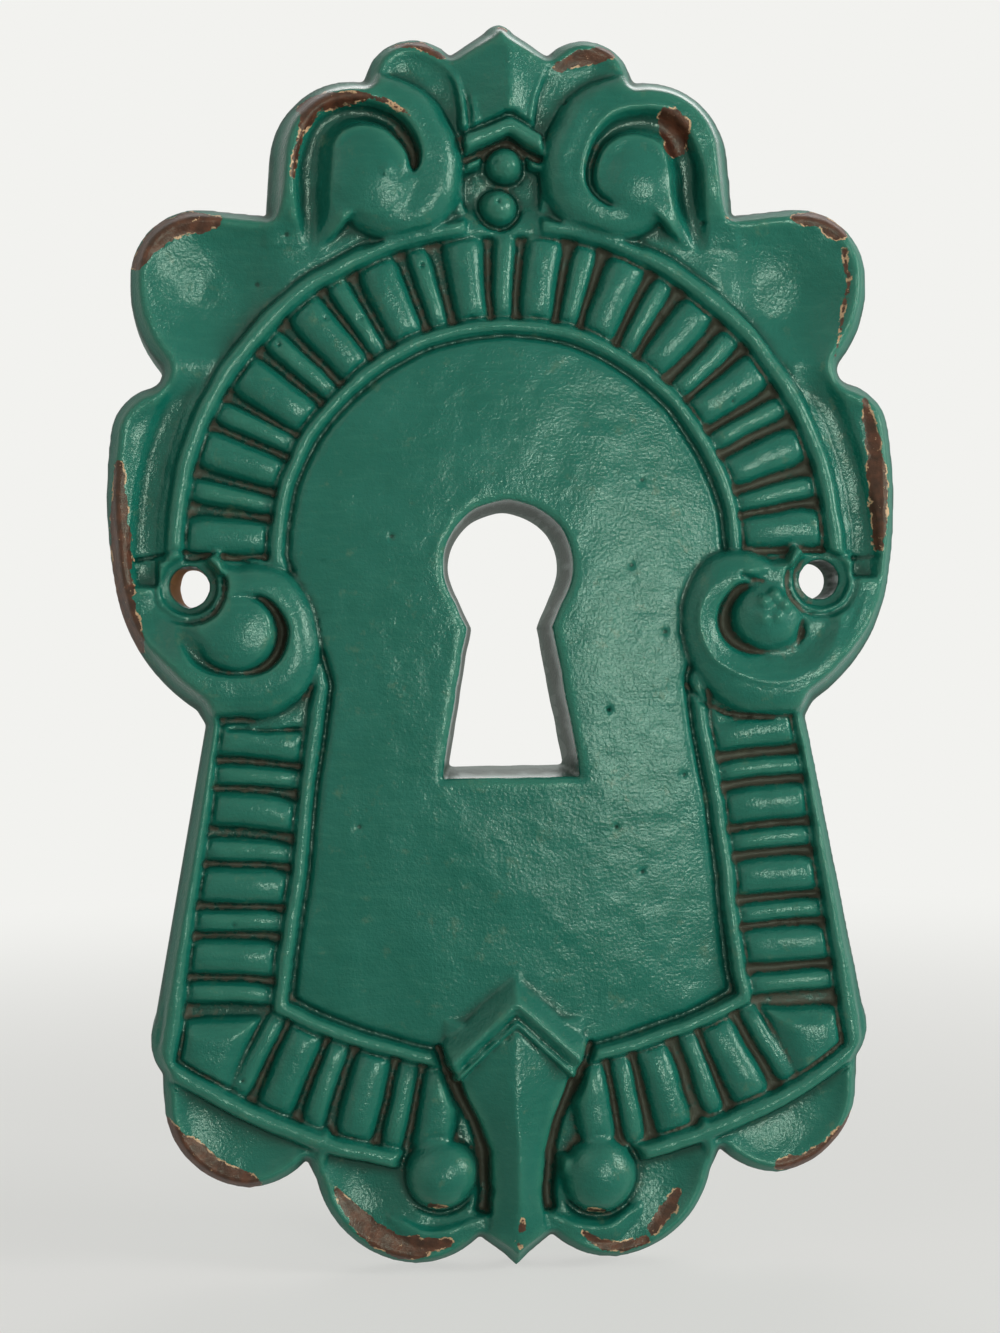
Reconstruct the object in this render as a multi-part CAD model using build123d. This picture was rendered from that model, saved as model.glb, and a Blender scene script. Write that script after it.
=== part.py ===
"""Keyhole escutcheon: one cast plate with scrolls, a reeded border and a pendant.

The plate is drawn flat, as if it lay on a bench: X is its width, Y its height and Z its relief, measured
from the flat back. At the end it is stood up, so that +Z is up and the carved front faces -Y. The origin
is midway between the two screw holes, on the back.
"""

import os
from math import atan2, cos, degrees, hypot, pi, radians, sin

from build123d import *

# Plate
half_width = 50.3
crest_rise = 71.2
pendant_drop = 86.8
plate_height = 6.0
rim_height = 9.2
rim_bevel = 28.0
scallop_height = 8.6

# Fixing holes
hole_spacing = 80.0
hole_radius = 2.5
hole_ring_radius = 3.9
hole_ring_depth = 0.9

# Keyhole
key_round_radius = 8.2
key_round_rise = 2.2
key_neck_half = 5.4
key_neck_drop = 5.6
key_foot_half = 8.8
key_foot_drop = 24.6
key_draft = 6.0

# Arch of the reeded border over the keyhole
arch_rise = 3.5
arch_inner_radius = 29.0
arch_outer_radius = 41.9
arch_pitch = 7.78
arch_pairs = 11

# Foot of the border, struck from the screw line
foot_inner_radius = 58.3
foot_outer_radius = 71.1
foot_first_angle = 8.3
foot_pitch = 4.1
foot_reeds = 6

# Sides of the border
side_inner_top = (23.8, -12.5)
side_inner_foot = (29.1, -51.0)
side_outer_top = (37.5, -17.0)
side_outer_foot = (43.8, -56.5)
side_first_drop = 19.9
side_pitch = 4.39
side_reeds = 8
side_tilt = 3.5

# Reeds and beads of the border
reed_height = 9.0
reed_barrel_radius = 13.5
wide_reed = 4.6
narrow_reed = 2.4
side_wide_reed = 4.0
side_narrow_reed = 2.3
narrow_reed_drop = 0.5
reed_gap_floor = 5.4
reed_bite = 0.8
reed_stations = 4
plain_reed_width = 3.0
reed_roundness = 0.9
reed_side_share = 0.25
bead_radius = 1.05
bead_height = 8.3
bead_arch_runs = 20
bead_foot_runs = 10
corner_radius = 3.2

# Field round the keyhole
field_height = 10.6
field_edge_height = 8.3
field_long_radius = 520.0
field_crown = -12.0
field_facets = 8
field_stations = (40.0, 20.0, 4.0, -12.0, -28.0, -46.0, -64.0)

# Scrolls
scroll_height = 11.4
scroll_eye_height = 12.6
scroll_seat_height = 7.0
top_scroll_centre = (13.0, 50.9)
top_scroll_radius = 8.4
top_well_centre = (18.5, 52.2)
top_well_radius = 8.3
band_shoulder = 7.4
dome_root = 1.4
dome_sides = 10
dish_sides = 10
band_stations = 3
flat_enough = 0.003

# Crest and collar beads
crest_ridge_height = 10.6
crest_rim_height = 9.4
crest_flute_height = 8.0
collar_height = 10.6
collar_bar = 0.95
pearl_radius = 2.6
pearl_rises = (53.3, 47.9)

# Pendant, its gable and the knobs
pendant_ridge_height = 11.6
pendant_edge_height = 9.2
gable_height = 12.2
gable_apex_drop = 50.0
gable_reach = 8.9
gable_fall = 8.4
gable_band = 5.4
knob_centre = (10.1, -74.4)
knob_radius = 4.3
knob_height = 11.2


def both_sides(shape):
    """The shape and its mirror image across the centre line."""
    return shape + mirror(shape, Plane.YZ)


def polar(radius, angle, centre_y=0.0):
    """A point at an angle in degrees from +X about a centre on the centre line."""
    return (radius * cos(radians(angle)), centre_y + radius * sin(radians(angle)))


def prism(face, low, high):
    """A flat face carried straight up from one height to another."""
    return Pos(0, 0, low) * extrude(face.face(), amount=high - low, dir=(0, 0, 1))


def leaning_prism(face, low, high, lean):
    """A flat face carried up with sides that lean in by an angle."""
    body = extrude(face.face(), amount=high - low, taper=lean)
    if body.bounding_box().center().Z < 0:
        body = mirror(body, Plane.XY)
    return Pos(0, 0, low) * body


def faceted(sections):
    """A solid of flat facets through closed sections of equal point counts, each a list of (x, y, z)."""
    faces = [facet(sections[0]), facet(sections[-1])]
    for near, far in zip(sections, sections[1:]):
        for i, point in enumerate(near):
            j = (i + 1) % len(near)
            corners = [point, near[j], far[j], far[i]]
            if bend_of(corners) < flat_enough:
                faces.append(facet(corners))
            else:
                faces += [facet(corners[:3]), facet([corners[0], corners[2], corners[3]])]
    return Solid(Shell(faces))


def facet(points):
    """A flat face on its corner points."""
    return make_face(Polyline(*points, close=True)).face()


def bend_of(corners):
    """How far the fourth corner lies out of the plane of the other three."""
    first, second, third, fourth = (Vector(*corner) for corner in corners)
    normal = (second - first).cross(third - first)
    return abs((fourth - first).dot(normal.normalized()))


def ring(radius, sides, height, centre=(0.0, 0.0)):
    """The corners of a level regular polygon."""
    return [
        (centre[0] + radius * cos(2 * pi * i / sides), centre[1] + radius * sin(2 * pi * i / sides), height)
        for i in range(sides)
    ]


def dish(centre, spread, depth, top):
    """The tool for a dished hollow: sides that slope in to a flatter floor, its rim at the height top."""
    return faceted([
        ring(spread * 0.55, dish_sides, top - depth, centre),
        ring(spread * 1.45, dish_sides, top + depth, centre),
    ])


def dome(centre, spread, rise, base):
    """A round button cut in flats, from its edge at the height base up to its crown."""
    steps = ((1.05, -dome_root), (0.88, rise * 0.55), (0.36, rise))
    return faceted([ring(spread * share, dome_sides, base + height, centre) for share, height in steps])


def plate_outline():
    """Right half of the silhouette, from the crest round to the pendant, then mirrored."""
    wide = half_width
    top = crest_rise
    low = -pendant_drop
    crest = (
        ThreePointArc((0, top), (1.0, top - 0.3), (1.8, top - 1.0))
        + Line((1.8, top - 1.0), (6.2, top - 4.0))
        + ThreePointArc((6.2, top - 4.0), (11.6, top - 2.0), (16.2, top - 4.8))
        + Line((16.2, top - 4.8), (17.3, top - 7.3))
        + ThreePointArc((17.3, top - 7.3), (25.3, top - 9.6), (29.3, top - 17.8))
        + Line((29.3, top - 17.8), (29.8, 46.9))
    )
    wing = (
        Line((29.8, 46.9), (36.6, 47.6))
        + ThreePointArc((36.6, 47.6), (44.6, 44.9), (47.0, 38.4))
        + ThreePointArc((47.0, 38.4), (46.2, 32.9), (43.6, 28.2))
        + ThreePointArc((43.6, 28.2), (43.3, 26.4), (44.7, 25.2))
        + ThreePointArc((44.7, 25.2), (47.9, 23.3), (wide - 0.7, 20.0))
        + ThreePointArc((wide - 0.7, 20.0), (wide, 10.6), (wide - 0.8, 0.9))
        + ThreePointArc((wide - 0.8, 0.9), (46.4, -8.2), (39.4, -15.5))
    )
    side = (
        Line((39.4, -15.5), (38.3, -17.4))
        + Line((38.3, -17.4), (45.2, -54.5))
        + ThreePointArc((45.2, -54.5), (45.7, -58.2), (44.4, -61.2))
        + Line((44.4, -61.2), (44.2, -65.2))
    )
    scallops = (
        ThreePointArc((44.2, -65.2), (41.0, -72.6), (33.7, -76.0))
        + ThreePointArc((33.7, -76.0), (29.6, -75.0), (26.4, -72.7))
        + Line((26.4, -72.7), (25.2, -75.2))
        + ThreePointArc((25.2, -75.2), (20.3, -83.2), (12.9, -86.2))
        + ThreePointArc((12.9, -86.2), (8.4, -85.4), (4.6, low + 3.8))
        + Line((4.6, low + 3.8), (1.6, low + 1.5))
        + Line((1.6, low + 1.5), (0, low))
    )
    return make_face(both_sides(crest + wing + side + scallops))


def border_edge(arch_radius, top, foot, foot_radius, round_corner=0.0):
    """A closed outline of the border: arch, sloping sides and a foot struck from the screw line."""
    spring = (arch_radius, arch_rise)
    reach = foot_corner(top, foot, foot_radius)
    edge = (
        ThreePointArc((0, arch_rise + arch_radius), polar(arch_radius, 45, arch_rise), spring)
        + Line(spring, top)
        + Line(top, reach)
        + ThreePointArc(reach, *foot_arc(reach, foot_radius))
    )
    face = make_face(both_sides(edge))
    if round_corner:
        corners = [v for v in face.vertices() if hypot(abs(v.X) - reach[0], v.Y - reach[1]) < 0.01]
        face = fillet(corners, round_corner)
    return face


def along_x(start, end, y):
    """X at a height y on the line through two points."""
    return start[0] + (y - start[1]) / (end[1] - start[1]) * (end[0] - start[0])


def foot_arc(reach, foot_radius):
    """Middle and end of the foot arc that starts at its corner."""
    middle = reach[0] / 2
    return (middle, -((foot_radius**2 - middle**2) ** 0.5)), (0, -foot_radius)


def foot_corner(top, foot, foot_radius):
    """Where the sloping side meets the foot arc."""
    lean = ((foot[0] - top[0]), (foot[1] - top[1]))
    length = hypot(*lean)
    step = (lean[0] / length, lean[1] / length)
    along = -(top[0] * step[0] + top[1] * step[1])
    near = hypot(top[0] + along * step[0], top[1] + along * step[1])
    run = along + (foot_radius**2 - near**2) ** 0.5
    return (top[0] + run * step[0], top[1] + run * step[1])


def field_edge():
    return border_edge(arch_inner_radius, side_inner_top, side_inner_foot, foot_inner_radius)


def panel_edge():
    return border_edge(
        arch_outer_radius, side_outer_top, side_outer_foot, foot_outer_radius, corner_radius
    )


def plate():
    """Plate with a bevelled rim that stands up outside the reeded border."""
    outline = plate_outline()
    base = prism(outline, 0, plate_height)
    lower_edge = plate_height - 1.0
    rim = leaning_prism(outline, lower_edge, rim_height, rim_bevel)
    above = Pos(0, 100 - 15.6, 10) * Box(200, 200, 30)
    foot_rim = leaning_prism(outline, lower_edge, scallop_height, rim_bevel)
    below = Pos(0, -100 + side_outer_foot[1] - 3, 10) * Box(200, 200, 30)
    room = prism(panel_edge(), plate_height, rim_height + 1)
    return base + ((rim & above) + (foot_rim & below) - room)


def hollows():
    """Dished wings, shoulders, leaves and scallops inside a ridge, and the sunk grounds of the scrolls."""
    wing = dish((35.8, 36.6), 8.8, 2.4, rim_height)
    lip = rim_height + 0.1
    channel = make_face(Polyline((41.4, lip), (45.3, rim_height - 1.0), (49.2, lip), close=True))
    shoulder = Pos(0, arch_rise, 0) * Rot(0, 0, -5) * revolve(Plane.XZ * channel, Axis.Z, 31)
    leaf = dish((11.4, 62.6), 4.6, 1.8, rim_height)
    outer_scallop = dish((35.2, -65.6), 8.4, 2.2, scallop_height)
    inner_scallop = dish((16.4, -75.4), 8.4, 2.2, scallop_height)
    depth = rim_height - scroll_seat_height
    places = ((*top_scroll_centre, top_scroll_radius), (*top_well_centre, top_well_radius))
    wells = [
        Pos(x, y, scroll_seat_height + depth) * Cylinder(radius, depth * 2) for x, y, radius in places
    ]
    tools = [wing, shoulder, leaf, outer_scallop, inner_scallop] + wells
    return tools + [mirror(tool, Plane.YZ) for tool in tools]


def field():
    """The bowed field round the keyhole, faceted across and along."""
    cross_radius = arch_inner_radius**2 / (2 * (field_height - field_edge_height))
    half = arch_inner_radius + 3
    sections = []
    for y in field_stations:
        drop = (y - field_crown) ** 2 / (2 * field_long_radius)
        steps = [half * (2 * i / field_facets - 1) for i in range(field_facets + 1)]
        crown = [(x, field_height - x**2 / (2 * cross_radius) - drop) for x in steps]
        outline = [(-half, plate_height - 3), *crown, (half, plate_height - 3)]
        sections.append([(x, y, height) for x, height in outline])
    return prism(field_edge(), plate_height - 1, field_height + 2) & faceted(sections)


def rod(points):
    """A moulded bead along straight runs: sloping sides and a narrow flat on top."""
    path = Polyline(*[(x, y, bead_height) for x, y in points])
    start = Plane(origin=path @ 0, z_dir=path % 0, x_dir=Vector(0, 0, 1).cross(path % 0))
    flat = bead_radius * 0.4
    foot = plate_height - 0.5 - bead_height
    section = Polyline((-bead_radius * 1.3, foot), (-flat, bead_radius), (flat, bead_radius),
                       (bead_radius * 1.3, foot), close=True)
    return sweep(start * make_face(section), path=path, transition=Transition.RIGHT)


def border_beads():
    """The beads on both edges of the reeded border, in short straight runs."""
    pieces = []
    for radius, top, foot, foot_radius in (
        (arch_inner_radius, side_inner_top, side_inner_foot, foot_inner_radius),
        (arch_outer_radius, side_outer_top, side_outer_foot, foot_outer_radius),
    ):
        corner = foot_corner(top, foot, foot_radius)
        arch = [polar(radius, 180 * i / bead_arch_runs, arch_rise) for i in range(bead_arch_runs + 1)]
        first = degrees(atan2(corner[1], corner[0]))
        sweep_angle = -180 - 2 * first
        step = sweep_angle / bead_foot_runs
        under = [polar(foot_radius, first + step * i) for i in range(bead_foot_runs + 1)]
        side = rod([top, corner])
        pieces += [rod(arch), rod(under), side, mirror(side, Plane.YZ)]
    return pieces


def reed(width, height, length, grow=1.0):
    """One reed along +X from the origin: upright sides and a round top, arched along its length.

    It widens by grow from its middle to its far end, and its height falls away to both ends. A narrow one
    has a plain ridged top.
    """
    sections = []
    plain = width < plain_reed_width
    stations = reed_stations - 1 if plain else reed_stations
    for station in range(stations):
        share = station / (stations - 1)
        from_middle = (share - 0.5) * length
        half = width / 2 * (1 + (grow - 1) * 2 * (share - 0.5))
        top = height - reed_barrel_radius + (reed_barrel_radius**2 - from_middle**2) ** 0.5
        shoulder = max(top * reed_side_share, top - half * reed_roundness)
        rise = top - shoulder
        if plain:
            crown = [(half * 0.4, top), (-half * 0.4, top)]
        else:
            hip = shoulder + rise * 0.72
            crown = [(half * 0.62, hip), (0, top), (-half * 0.62, hip)]
        outline = [(-half, 0), (half, 0), (half, shoulder), *crown, (-half, shoulder)]
        sections.append([(share * length, across, height_here) for across, height_here in outline])
    return faceted(sections)


def polar_reeds(centre_y, start_angle, step, count, first_wide, inner_radius, outer_radius, grow):
    """Reeds that point away from a centre, wide and narrow by turns."""
    inner = inner_radius - reed_bite
    length = outer_radius + reed_bite - inner
    pieces = []
    for i in range(count):
        wide = (i % 2 == 0) == first_wide
        rise = reed_height - reed_gap_floor - (0 if wide else narrow_reed_drop)
        place = Pos(0, centre_y, reed_gap_floor) * Rot(0, 0, start_angle + i * step) * Pos(inner, 0, 0)
        pieces.append(place * reed(wide_reed if wide else narrow_reed, rise, length, grow))
    return pieces


def side_reeds_run():
    """Reeds across the sloping side of the border."""
    pieces = []
    for i in range(side_reeds):
        wide = i % 2 == 0
        rise = reed_height - reed_gap_floor - (0 if wide else narrow_reed_drop)
        drop = -side_first_drop - i * side_pitch
        inner = along_x(side_inner_top, side_inner_foot, drop) - reed_bite
        length = along_x(side_outer_top, side_outer_foot, drop) + reed_bite - inner
        body = reed(side_wide_reed if wide else side_narrow_reed, rise, length)
        pieces.append(Pos(inner, drop, reed_gap_floor) * Rot(0, 0, side_tilt) * body)
    return pieces


def reeds():
    """All the reeds: over the arch, then down the sides and along the foot on both hands."""
    arch = polar_reeds(arch_rise, 90 - arch_pairs * arch_pitch, arch_pitch, 2 * arch_pairs + 1, True,
                       arch_inner_radius, arch_outer_radius, 1.15)
    foot = polar_reeds(0, -90 + foot_first_angle, foot_pitch, foot_reeds, True,
                       foot_inner_radius, foot_outer_radius, 1.06)
    half = side_reeds_run() + foot
    return arch + half + [mirror(piece, Plane.YZ) for piece in half]


def corner_fan():
    """The broad fan that turns the border's lower corner."""
    corner = foot_corner(side_inner_top, side_inner_foot, foot_inner_radius)
    far = (side_outer_foot[0] + 4, side_outer_foot[1] - 1)
    wedge = make_face(Polyline(
        (corner[0] + 2.0, corner[1] - 1.4),
        (far[0], -53.3),
        far,
        (36.2, -63.6),
        close=True,
    ))
    bulge = dome((37.6, -57.4), 8.6, reed_height + 0.4 - reed_gap_floor, reed_gap_floor)
    return prism(wedge, reed_gap_floor, reed_height + 2) & bulge


def winding(start, heading, turn, radii):
    """Tangent quarter arcs, wound one way from a start point, as one path."""
    edges = []
    x, y = start
    for radius in radii:
        side = radians(heading + 90 * turn)
        centre = (x + radius * cos(side), y + radius * sin(side))
        points = []
        for step in (0, 45, 90):
            angle = side + radians(180 + step * turn)
            points.append((centre[0] + radius * cos(angle), centre[1] + radius * sin(angle)))
        edges.append(ThreePointArc(*points))
        x, y = points[-1]
        heading += 90 * turn
    return edges


def ridged_band(edges, nodes, turn=1):
    """A ridged band along a chain of edges.

    Each node is (outer half, inner half, crest height), one more than the edges. The outer side is the one
    away from the centre of a path that turns that way.
    """
    foot = plate_height - 0.3
    pieces = []
    for edge, first, last in zip(edges, nodes, nodes[1:]):
        stations = 1 if edge.geom_type == GeomType.LINE else band_stations
        sections = []
        for i in range(stations + 1):
            place = i / stations
            outer, inner, crest_top = (a + (b - a) * place for a, b in zip(first, last))
            at = edge @ place
            left = Vector(0, 0, 1).cross(edge % place).normalized() * turn
            spread = (crest_top - foot) / (crest_top - min(band_shoulder, crest_top - 0.5))
            sections.append([
                (at.X - left.X * outer * spread, at.Y - left.Y * outer * spread, foot),
                (at.X, at.Y, crest_top),
                (at.X + left.X * inner * spread, at.Y + left.Y * inner * spread, foot),
            ])
        pieces.append(faceted(sections))
    return pieces


def scrolls():
    """The top scrolls, and the side scrolls, whose right one winds further than the left."""
    eye_rise = scroll_eye_height - scroll_seat_height
    crest_top = scroll_height
    top_start = (26.8, 45.0)
    top_bend = (26.8, 52.2)
    top_path = [Line(top_start, top_bend)] + winding(top_bend, 90, 1, (8.3, 8.3, 5.2, 4.2))
    top_nodes = [
        (1.0, 1.0, rim_height + 0.2),
        (2.4, 3.0, crest_top - 0.8),
        (2.6, 4.6, crest_top - 0.4),
        (5.2, 2.4, crest_top - 0.1),
        (4.4, 1.6, crest_top),
        (2.0, 1.4, crest_top),
    ]
    top = [dome((16.2, 51.3), 3.6, eye_rise, scroll_seat_height)] + ridged_band(top_path, top_nodes)

    side_start = (46.9, 12.0)
    side_bend = (46.9, -0.6)
    lead = [Line(side_start, side_bend)]
    outer_nodes = [
        (0.8, 0.8, rim_height - 0.1),
        (2.6, 2.2, crest_top - 1.2),
        (2.4, 2.8, crest_top - 0.6),
        (3.6, 2.2, crest_top - 0.2),
        (1.6, 2.0, crest_top - 0.2),
    ]
    right_path = lead + winding(side_bend, -90, -1, (12.4, 9.3, 6.2, 6.2, 5.6, 4.4))
    right_nodes = outer_nodes + [(1.4, 1.6, crest_top - 0.2), (1.8, 1.4, crest_top), (1.4, 1.2, crest_top)]
    right = [dome((32.8, -4.4), 3.3, eye_rise, scroll_seat_height)]
    right += ridged_band(right_path, right_nodes, -1)
    left_path = lead + winding(side_bend, -90, -1, (12.4, 9.3, 6.2, 6.2, 5.6))
    left_nodes = outer_nodes + [(1.4, 1.4, crest_top - 1.0), (0.9, 0.9, crest_top - 2.0)]
    left = [dome((33.2, -4.8), 5.0, eye_rise, scroll_seat_height)]
    left += ridged_band(left_path, left_nodes, -1)
    return top + right + [mirror(piece, Plane.YZ) for piece in top + left]


def ridge_form(profiles):
    """A faceted form along the centre line, straight between its cross-sections.

    Each profile is a place along Y and a list of (half width, height) points from the outside in.
    """
    sections = []
    for y, half_profile in profiles:
        left = [(-x, z) for x, z in reversed(half_profile) if x > 0]
        reach = half_profile[0][0]
        outline = [(reach, plate_height - 1), *half_profile, *left, (-reach, plate_height - 1)]
        sections.append([(x, y, height) for x, height in outline])
    return faceted(sections)


def crest():
    """The fluted leaf at the top, its collar of two bars and the two pearls under it."""
    def profile(half, drop):
        return [
            (half, crest_rim_height - drop - 0.8),
            (half * 0.86, crest_rim_height - drop),
            (half * 0.55, crest_flute_height - drop),
            (0, crest_ridge_height - drop),
        ]

    leaf = ridge_form([(56.0, profile(4.0, 0)), (62.0, profile(4.4, 0)), (66.5, profile(6.0, 0.2)),
                       (72.0, profile(7.6, 1.2))])
    pieces = [leaf]
    for rise, half, peak in ((58.2, 4.6, 1.3), (56.1, 4.2, 1.6)):
        path = Polyline((-half, rise - peak, 0), (0, rise, 0), (half, rise - peak, 0))
        section = Polyline((-collar_bar, -3), (-collar_bar, -0.6), (-0.4, 0), (0.4, 0), (collar_bar, -0.6),
                           (collar_bar, -3), close=True)
        start = Plane(origin=path @ 0, z_dir=path % 0, x_dir=Vector(0, 0, 1).cross(path % 0))
        bar = sweep(start * make_face(section), path=path, transition=Transition.RIGHT)
        pieces.append(Pos(0, 0, collar_height) * bar)
    for rise in pearl_rises:
        pieces.append(dome((0, rise), pearl_radius, pearl_radius, scroll_seat_height))
    return pieces


def neck():
    """The plain ground between the scrolls that carries the pearls."""
    ground = Polyline((-6.0, 44.5), (6.0, 44.5), (4.6, 57.0), (-4.6, 57.0), close=True)
    return prism(make_face(ground), plate_height - 1, scroll_seat_height)


def gable_bar(drop, height, half):
    """One moulded bar of the gable over the pendant: a half-round on upright sides."""
    end = (gable_reach, -drop - gable_fall)
    path = Polyline((-end[0], end[1], 0), (0, -drop, 0), (end[0], end[1], 0))
    section = Polyline((-half, height - 1.0), (-half, plate_height - 1),
                       (half, plate_height - 1), (half, height - 1.0))
    section += ThreePointArc((half, height - 1.0), (0, height), (-half, height - 1.0))
    tangent = path % 0
    frame = Plane(origin=path @ 0, z_dir=tangent, x_dir=Vector(0, 0, 1).cross(tangent))
    return sweep(frame * make_face(section), path=path, transition=Transition.RIGHT)


def pendant():
    """The ridged spear, the stepped gable above it and the two knobs beside it."""
    edge = pendant_edge_height
    ridge = pendant_ridge_height
    low = -pendant_drop
    spear = ridge_form([
        (-54.0, [(2.0, edge), (0, ridge - 1.2)]),
        (-62.4, [(7.2, edge), (0, ridge - 0.4)]),
        (-67.0, [(4.7, edge), (0, ridge)]),
        (-72.5, [(3.4, edge), (0, ridge)]),
        (-79.0, [(3.0, edge), (0, ridge - 0.4)]),
        (low + 4.2, [(4.5, edge - 1.6), (0, ridge - 1.4)]),
        (low - 0.4, [(0.6, edge - 2.2), (0, ridge - 2.6)]),
    ])
    pieces = [
        spear,
        gable_bar(gable_apex_drop + gable_band * 0.22, gable_height - 1.0, 1.5),
        gable_bar(gable_apex_drop + gable_band * 0.70, gable_height, 1.35),
    ]
    knob = dome(knob_centre, knob_radius, knob_height - plate_height - 1.4, plate_height + 1.4)
    curl_nodes = [
        (0.8, 0.8, scallop_height),
        (1.5, 1.5, scallop_height + 1.2),
        (1.0, 1.0, scallop_height + 0.6),
    ]
    curl = ridged_band(winding((16.8, -74.6), -90, -1, (6.2, 4.6)), curl_nodes, -1)
    for piece in [knob] + curl:
        pieces += [piece, mirror(piece, Plane.YZ)]
    return pieces


def divider():
    """The upright rib between the two scallops."""
    line = Line((24.6, -69.5), (25.6, -75.6))
    rib = ridged_band([line], [(1.3, 1.3, scallop_height + 1.0), (1.3, 1.3, scallop_height + 0.4)])
    return rib + [mirror(piece, Plane.YZ) for piece in rib]


def keyhole():
    """The keyhole: a round over a flared slot, both narrower at the back, as moulded."""
    tall = field_height + 2
    loss = tall * sin(radians(key_draft))
    front = make_face(Polyline(
        (key_round_radius * 0.9, -1.4), (key_neck_half, -key_neck_drop), (key_foot_half, -key_foot_drop),
        (-key_foot_half, -key_foot_drop), (-key_neck_half, -key_neck_drop), (-key_round_radius * 0.9, -1.4),
        close=True,
    ))
    back = make_face(Polyline(
        (key_round_radius * 0.9 - loss, -1.4), (key_neck_half - loss, -key_neck_drop),
        (key_foot_half - loss, -key_foot_drop + 1.6 * loss),
        (-key_foot_half + loss, -key_foot_drop + 1.6 * loss), (-key_neck_half + loss, -key_neck_drop),
        (-key_round_radius * 0.9 + loss, -1.4), close=True,
    ))
    slot = loft([Pos(0, 0, -0.01) * back, Pos(0, 0, tall) * front], ruled=True)
    round_end = Pos(0, key_round_rise, tall / 2) * Cone(key_round_radius - loss, key_round_radius, tall + 0.02)
    return slot + round_end


def screw_hole():
    """A screw hole with a sunk ring round it."""
    drill = Pos(hole_spacing / 2, 0, 10) * Cylinder(hole_radius, 40)
    ring = Pos(hole_spacing / 2, 0, rim_height - hole_ring_depth + 5) * Cylinder(hole_ring_radius, 10)
    return drill + ring


def stand_up(shape):
    """Turn the flat drawing upright: its height becomes +Z and its relief -Y."""
    return Rot(90, 0, 0) * shape


def casting():
    """The whole plate: ground, border, field and ornament in one, then the keyhole and screw holes cut."""
    fan = corner_fan()
    ornament = [field(), fan, mirror(fan, Plane.YZ), neck()]
    ornament += border_beads() + reeds() + scrolls() + crest() + pendant() + divider()
    body = (plate() - hollows()) + ornament
    body = body & prism(plate_outline(), 0, scroll_eye_height + 5)
    hole = screw_hole()
    return body - (keyhole() + hole + mirror(hole, Plane.YZ))


if __name__ == "__main__":
    os.makedirs("parts", exist_ok=True)
    export_step(stand_up(casting()), "parts/escutcheon.step")
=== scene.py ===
"""Keyhole escutcheon: the painted casting dressed over its CAD frame, with a plain stage.

The front of the casting is a relief with no undercuts, as it came out of an open mould, so it is carved as a
grid of heights over the flat back. All lengths in the carving are millimetres: x is the width, z the height
of the plate and the relief stands out of its back towards -Y.
"""

import functools
import math

import bmesh
import bpy
import numpy as np
from mathutils import Matrix, Vector


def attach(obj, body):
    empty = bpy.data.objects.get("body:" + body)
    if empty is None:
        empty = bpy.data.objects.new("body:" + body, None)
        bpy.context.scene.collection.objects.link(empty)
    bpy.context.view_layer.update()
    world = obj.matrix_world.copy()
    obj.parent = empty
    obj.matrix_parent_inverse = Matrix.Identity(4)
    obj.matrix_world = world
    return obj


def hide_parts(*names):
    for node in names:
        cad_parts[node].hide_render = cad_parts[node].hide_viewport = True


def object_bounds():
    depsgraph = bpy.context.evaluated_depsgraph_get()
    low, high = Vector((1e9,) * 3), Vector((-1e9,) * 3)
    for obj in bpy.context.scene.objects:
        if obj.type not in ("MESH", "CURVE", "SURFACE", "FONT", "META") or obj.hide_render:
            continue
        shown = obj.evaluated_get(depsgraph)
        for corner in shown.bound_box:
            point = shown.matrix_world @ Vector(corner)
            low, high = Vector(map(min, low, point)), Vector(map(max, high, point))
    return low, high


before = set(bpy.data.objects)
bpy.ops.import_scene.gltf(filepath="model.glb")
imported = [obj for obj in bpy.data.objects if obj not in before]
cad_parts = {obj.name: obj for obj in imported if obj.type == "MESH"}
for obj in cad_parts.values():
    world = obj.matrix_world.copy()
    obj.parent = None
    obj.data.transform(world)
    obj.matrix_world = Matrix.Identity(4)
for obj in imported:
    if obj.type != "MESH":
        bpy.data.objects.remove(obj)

CAD_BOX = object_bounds()

bl_info = {
    "name": "Keyhole Escutcheon",
    "version": (1, 0, 0),
    "blender": (4, 5, 0),
    "location": "View3D > Sidebar > Escutcheon",
    "description": "Builds a painted cast keyhole plate and a plain stage for it",
    "category": "Object",
}

MM = 0.001
CASTING = "escutcheon_casting"
CARVING = "relief"
ABOVE_ALL = 99.0
EDGE_HEIGHT = 6.0
TOP_SCROLL = (13.5, 52.0)
SIDE_SCROLL = (33.6, -5.3)

# Lines of the reeded border: radii and heights of its arch and foot, turns in degrees, ends of its sides
ARCH_RISE = 3.5
ARCH_INNER = 29.0
ARCH_OUTER = 41.9
ARCH_PITCH = 7.78
ARCH_PAIRS = 11
FOOT_INNER = 60.6
FOOT_OUTER = 74.1
FOOT_FIRST = 8.3
FOOT_PITCH = 4.1
FOOT_REEDS = 6
SIDE_INNER = ((23.8, -12.5), (29.1, -51.0))
SIDE_OUTER = ((37.5, -17.0), (43.2, -56.5))
SIDE_FIRST_DROP = 20.1
SIDE_PITCH = 4.48
SIDE_REEDS = 8
SIDE_TILT = 3.5

# Half widths of the reeds and the beads
FAN_WIDE = 2.55
FAN_NARROW = 1.4
SIDE_WIDE = 2.35
SIDE_NARROW = 1.35
INNER_BEAD = 0.95
OUTER_BEAD = 1.15
BEAD_FOOT = 8.3

# Keyhole and screw holes
KEYHOLE_RADIUS = 8.2
KEYHOLE_RISE = 2.2
KEYHOLE_FOOT = 24.6
HOLE_REACH = 40.0
HOLE_RADIUS = 2.5
HOLE_SINK = 4.2

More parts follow.
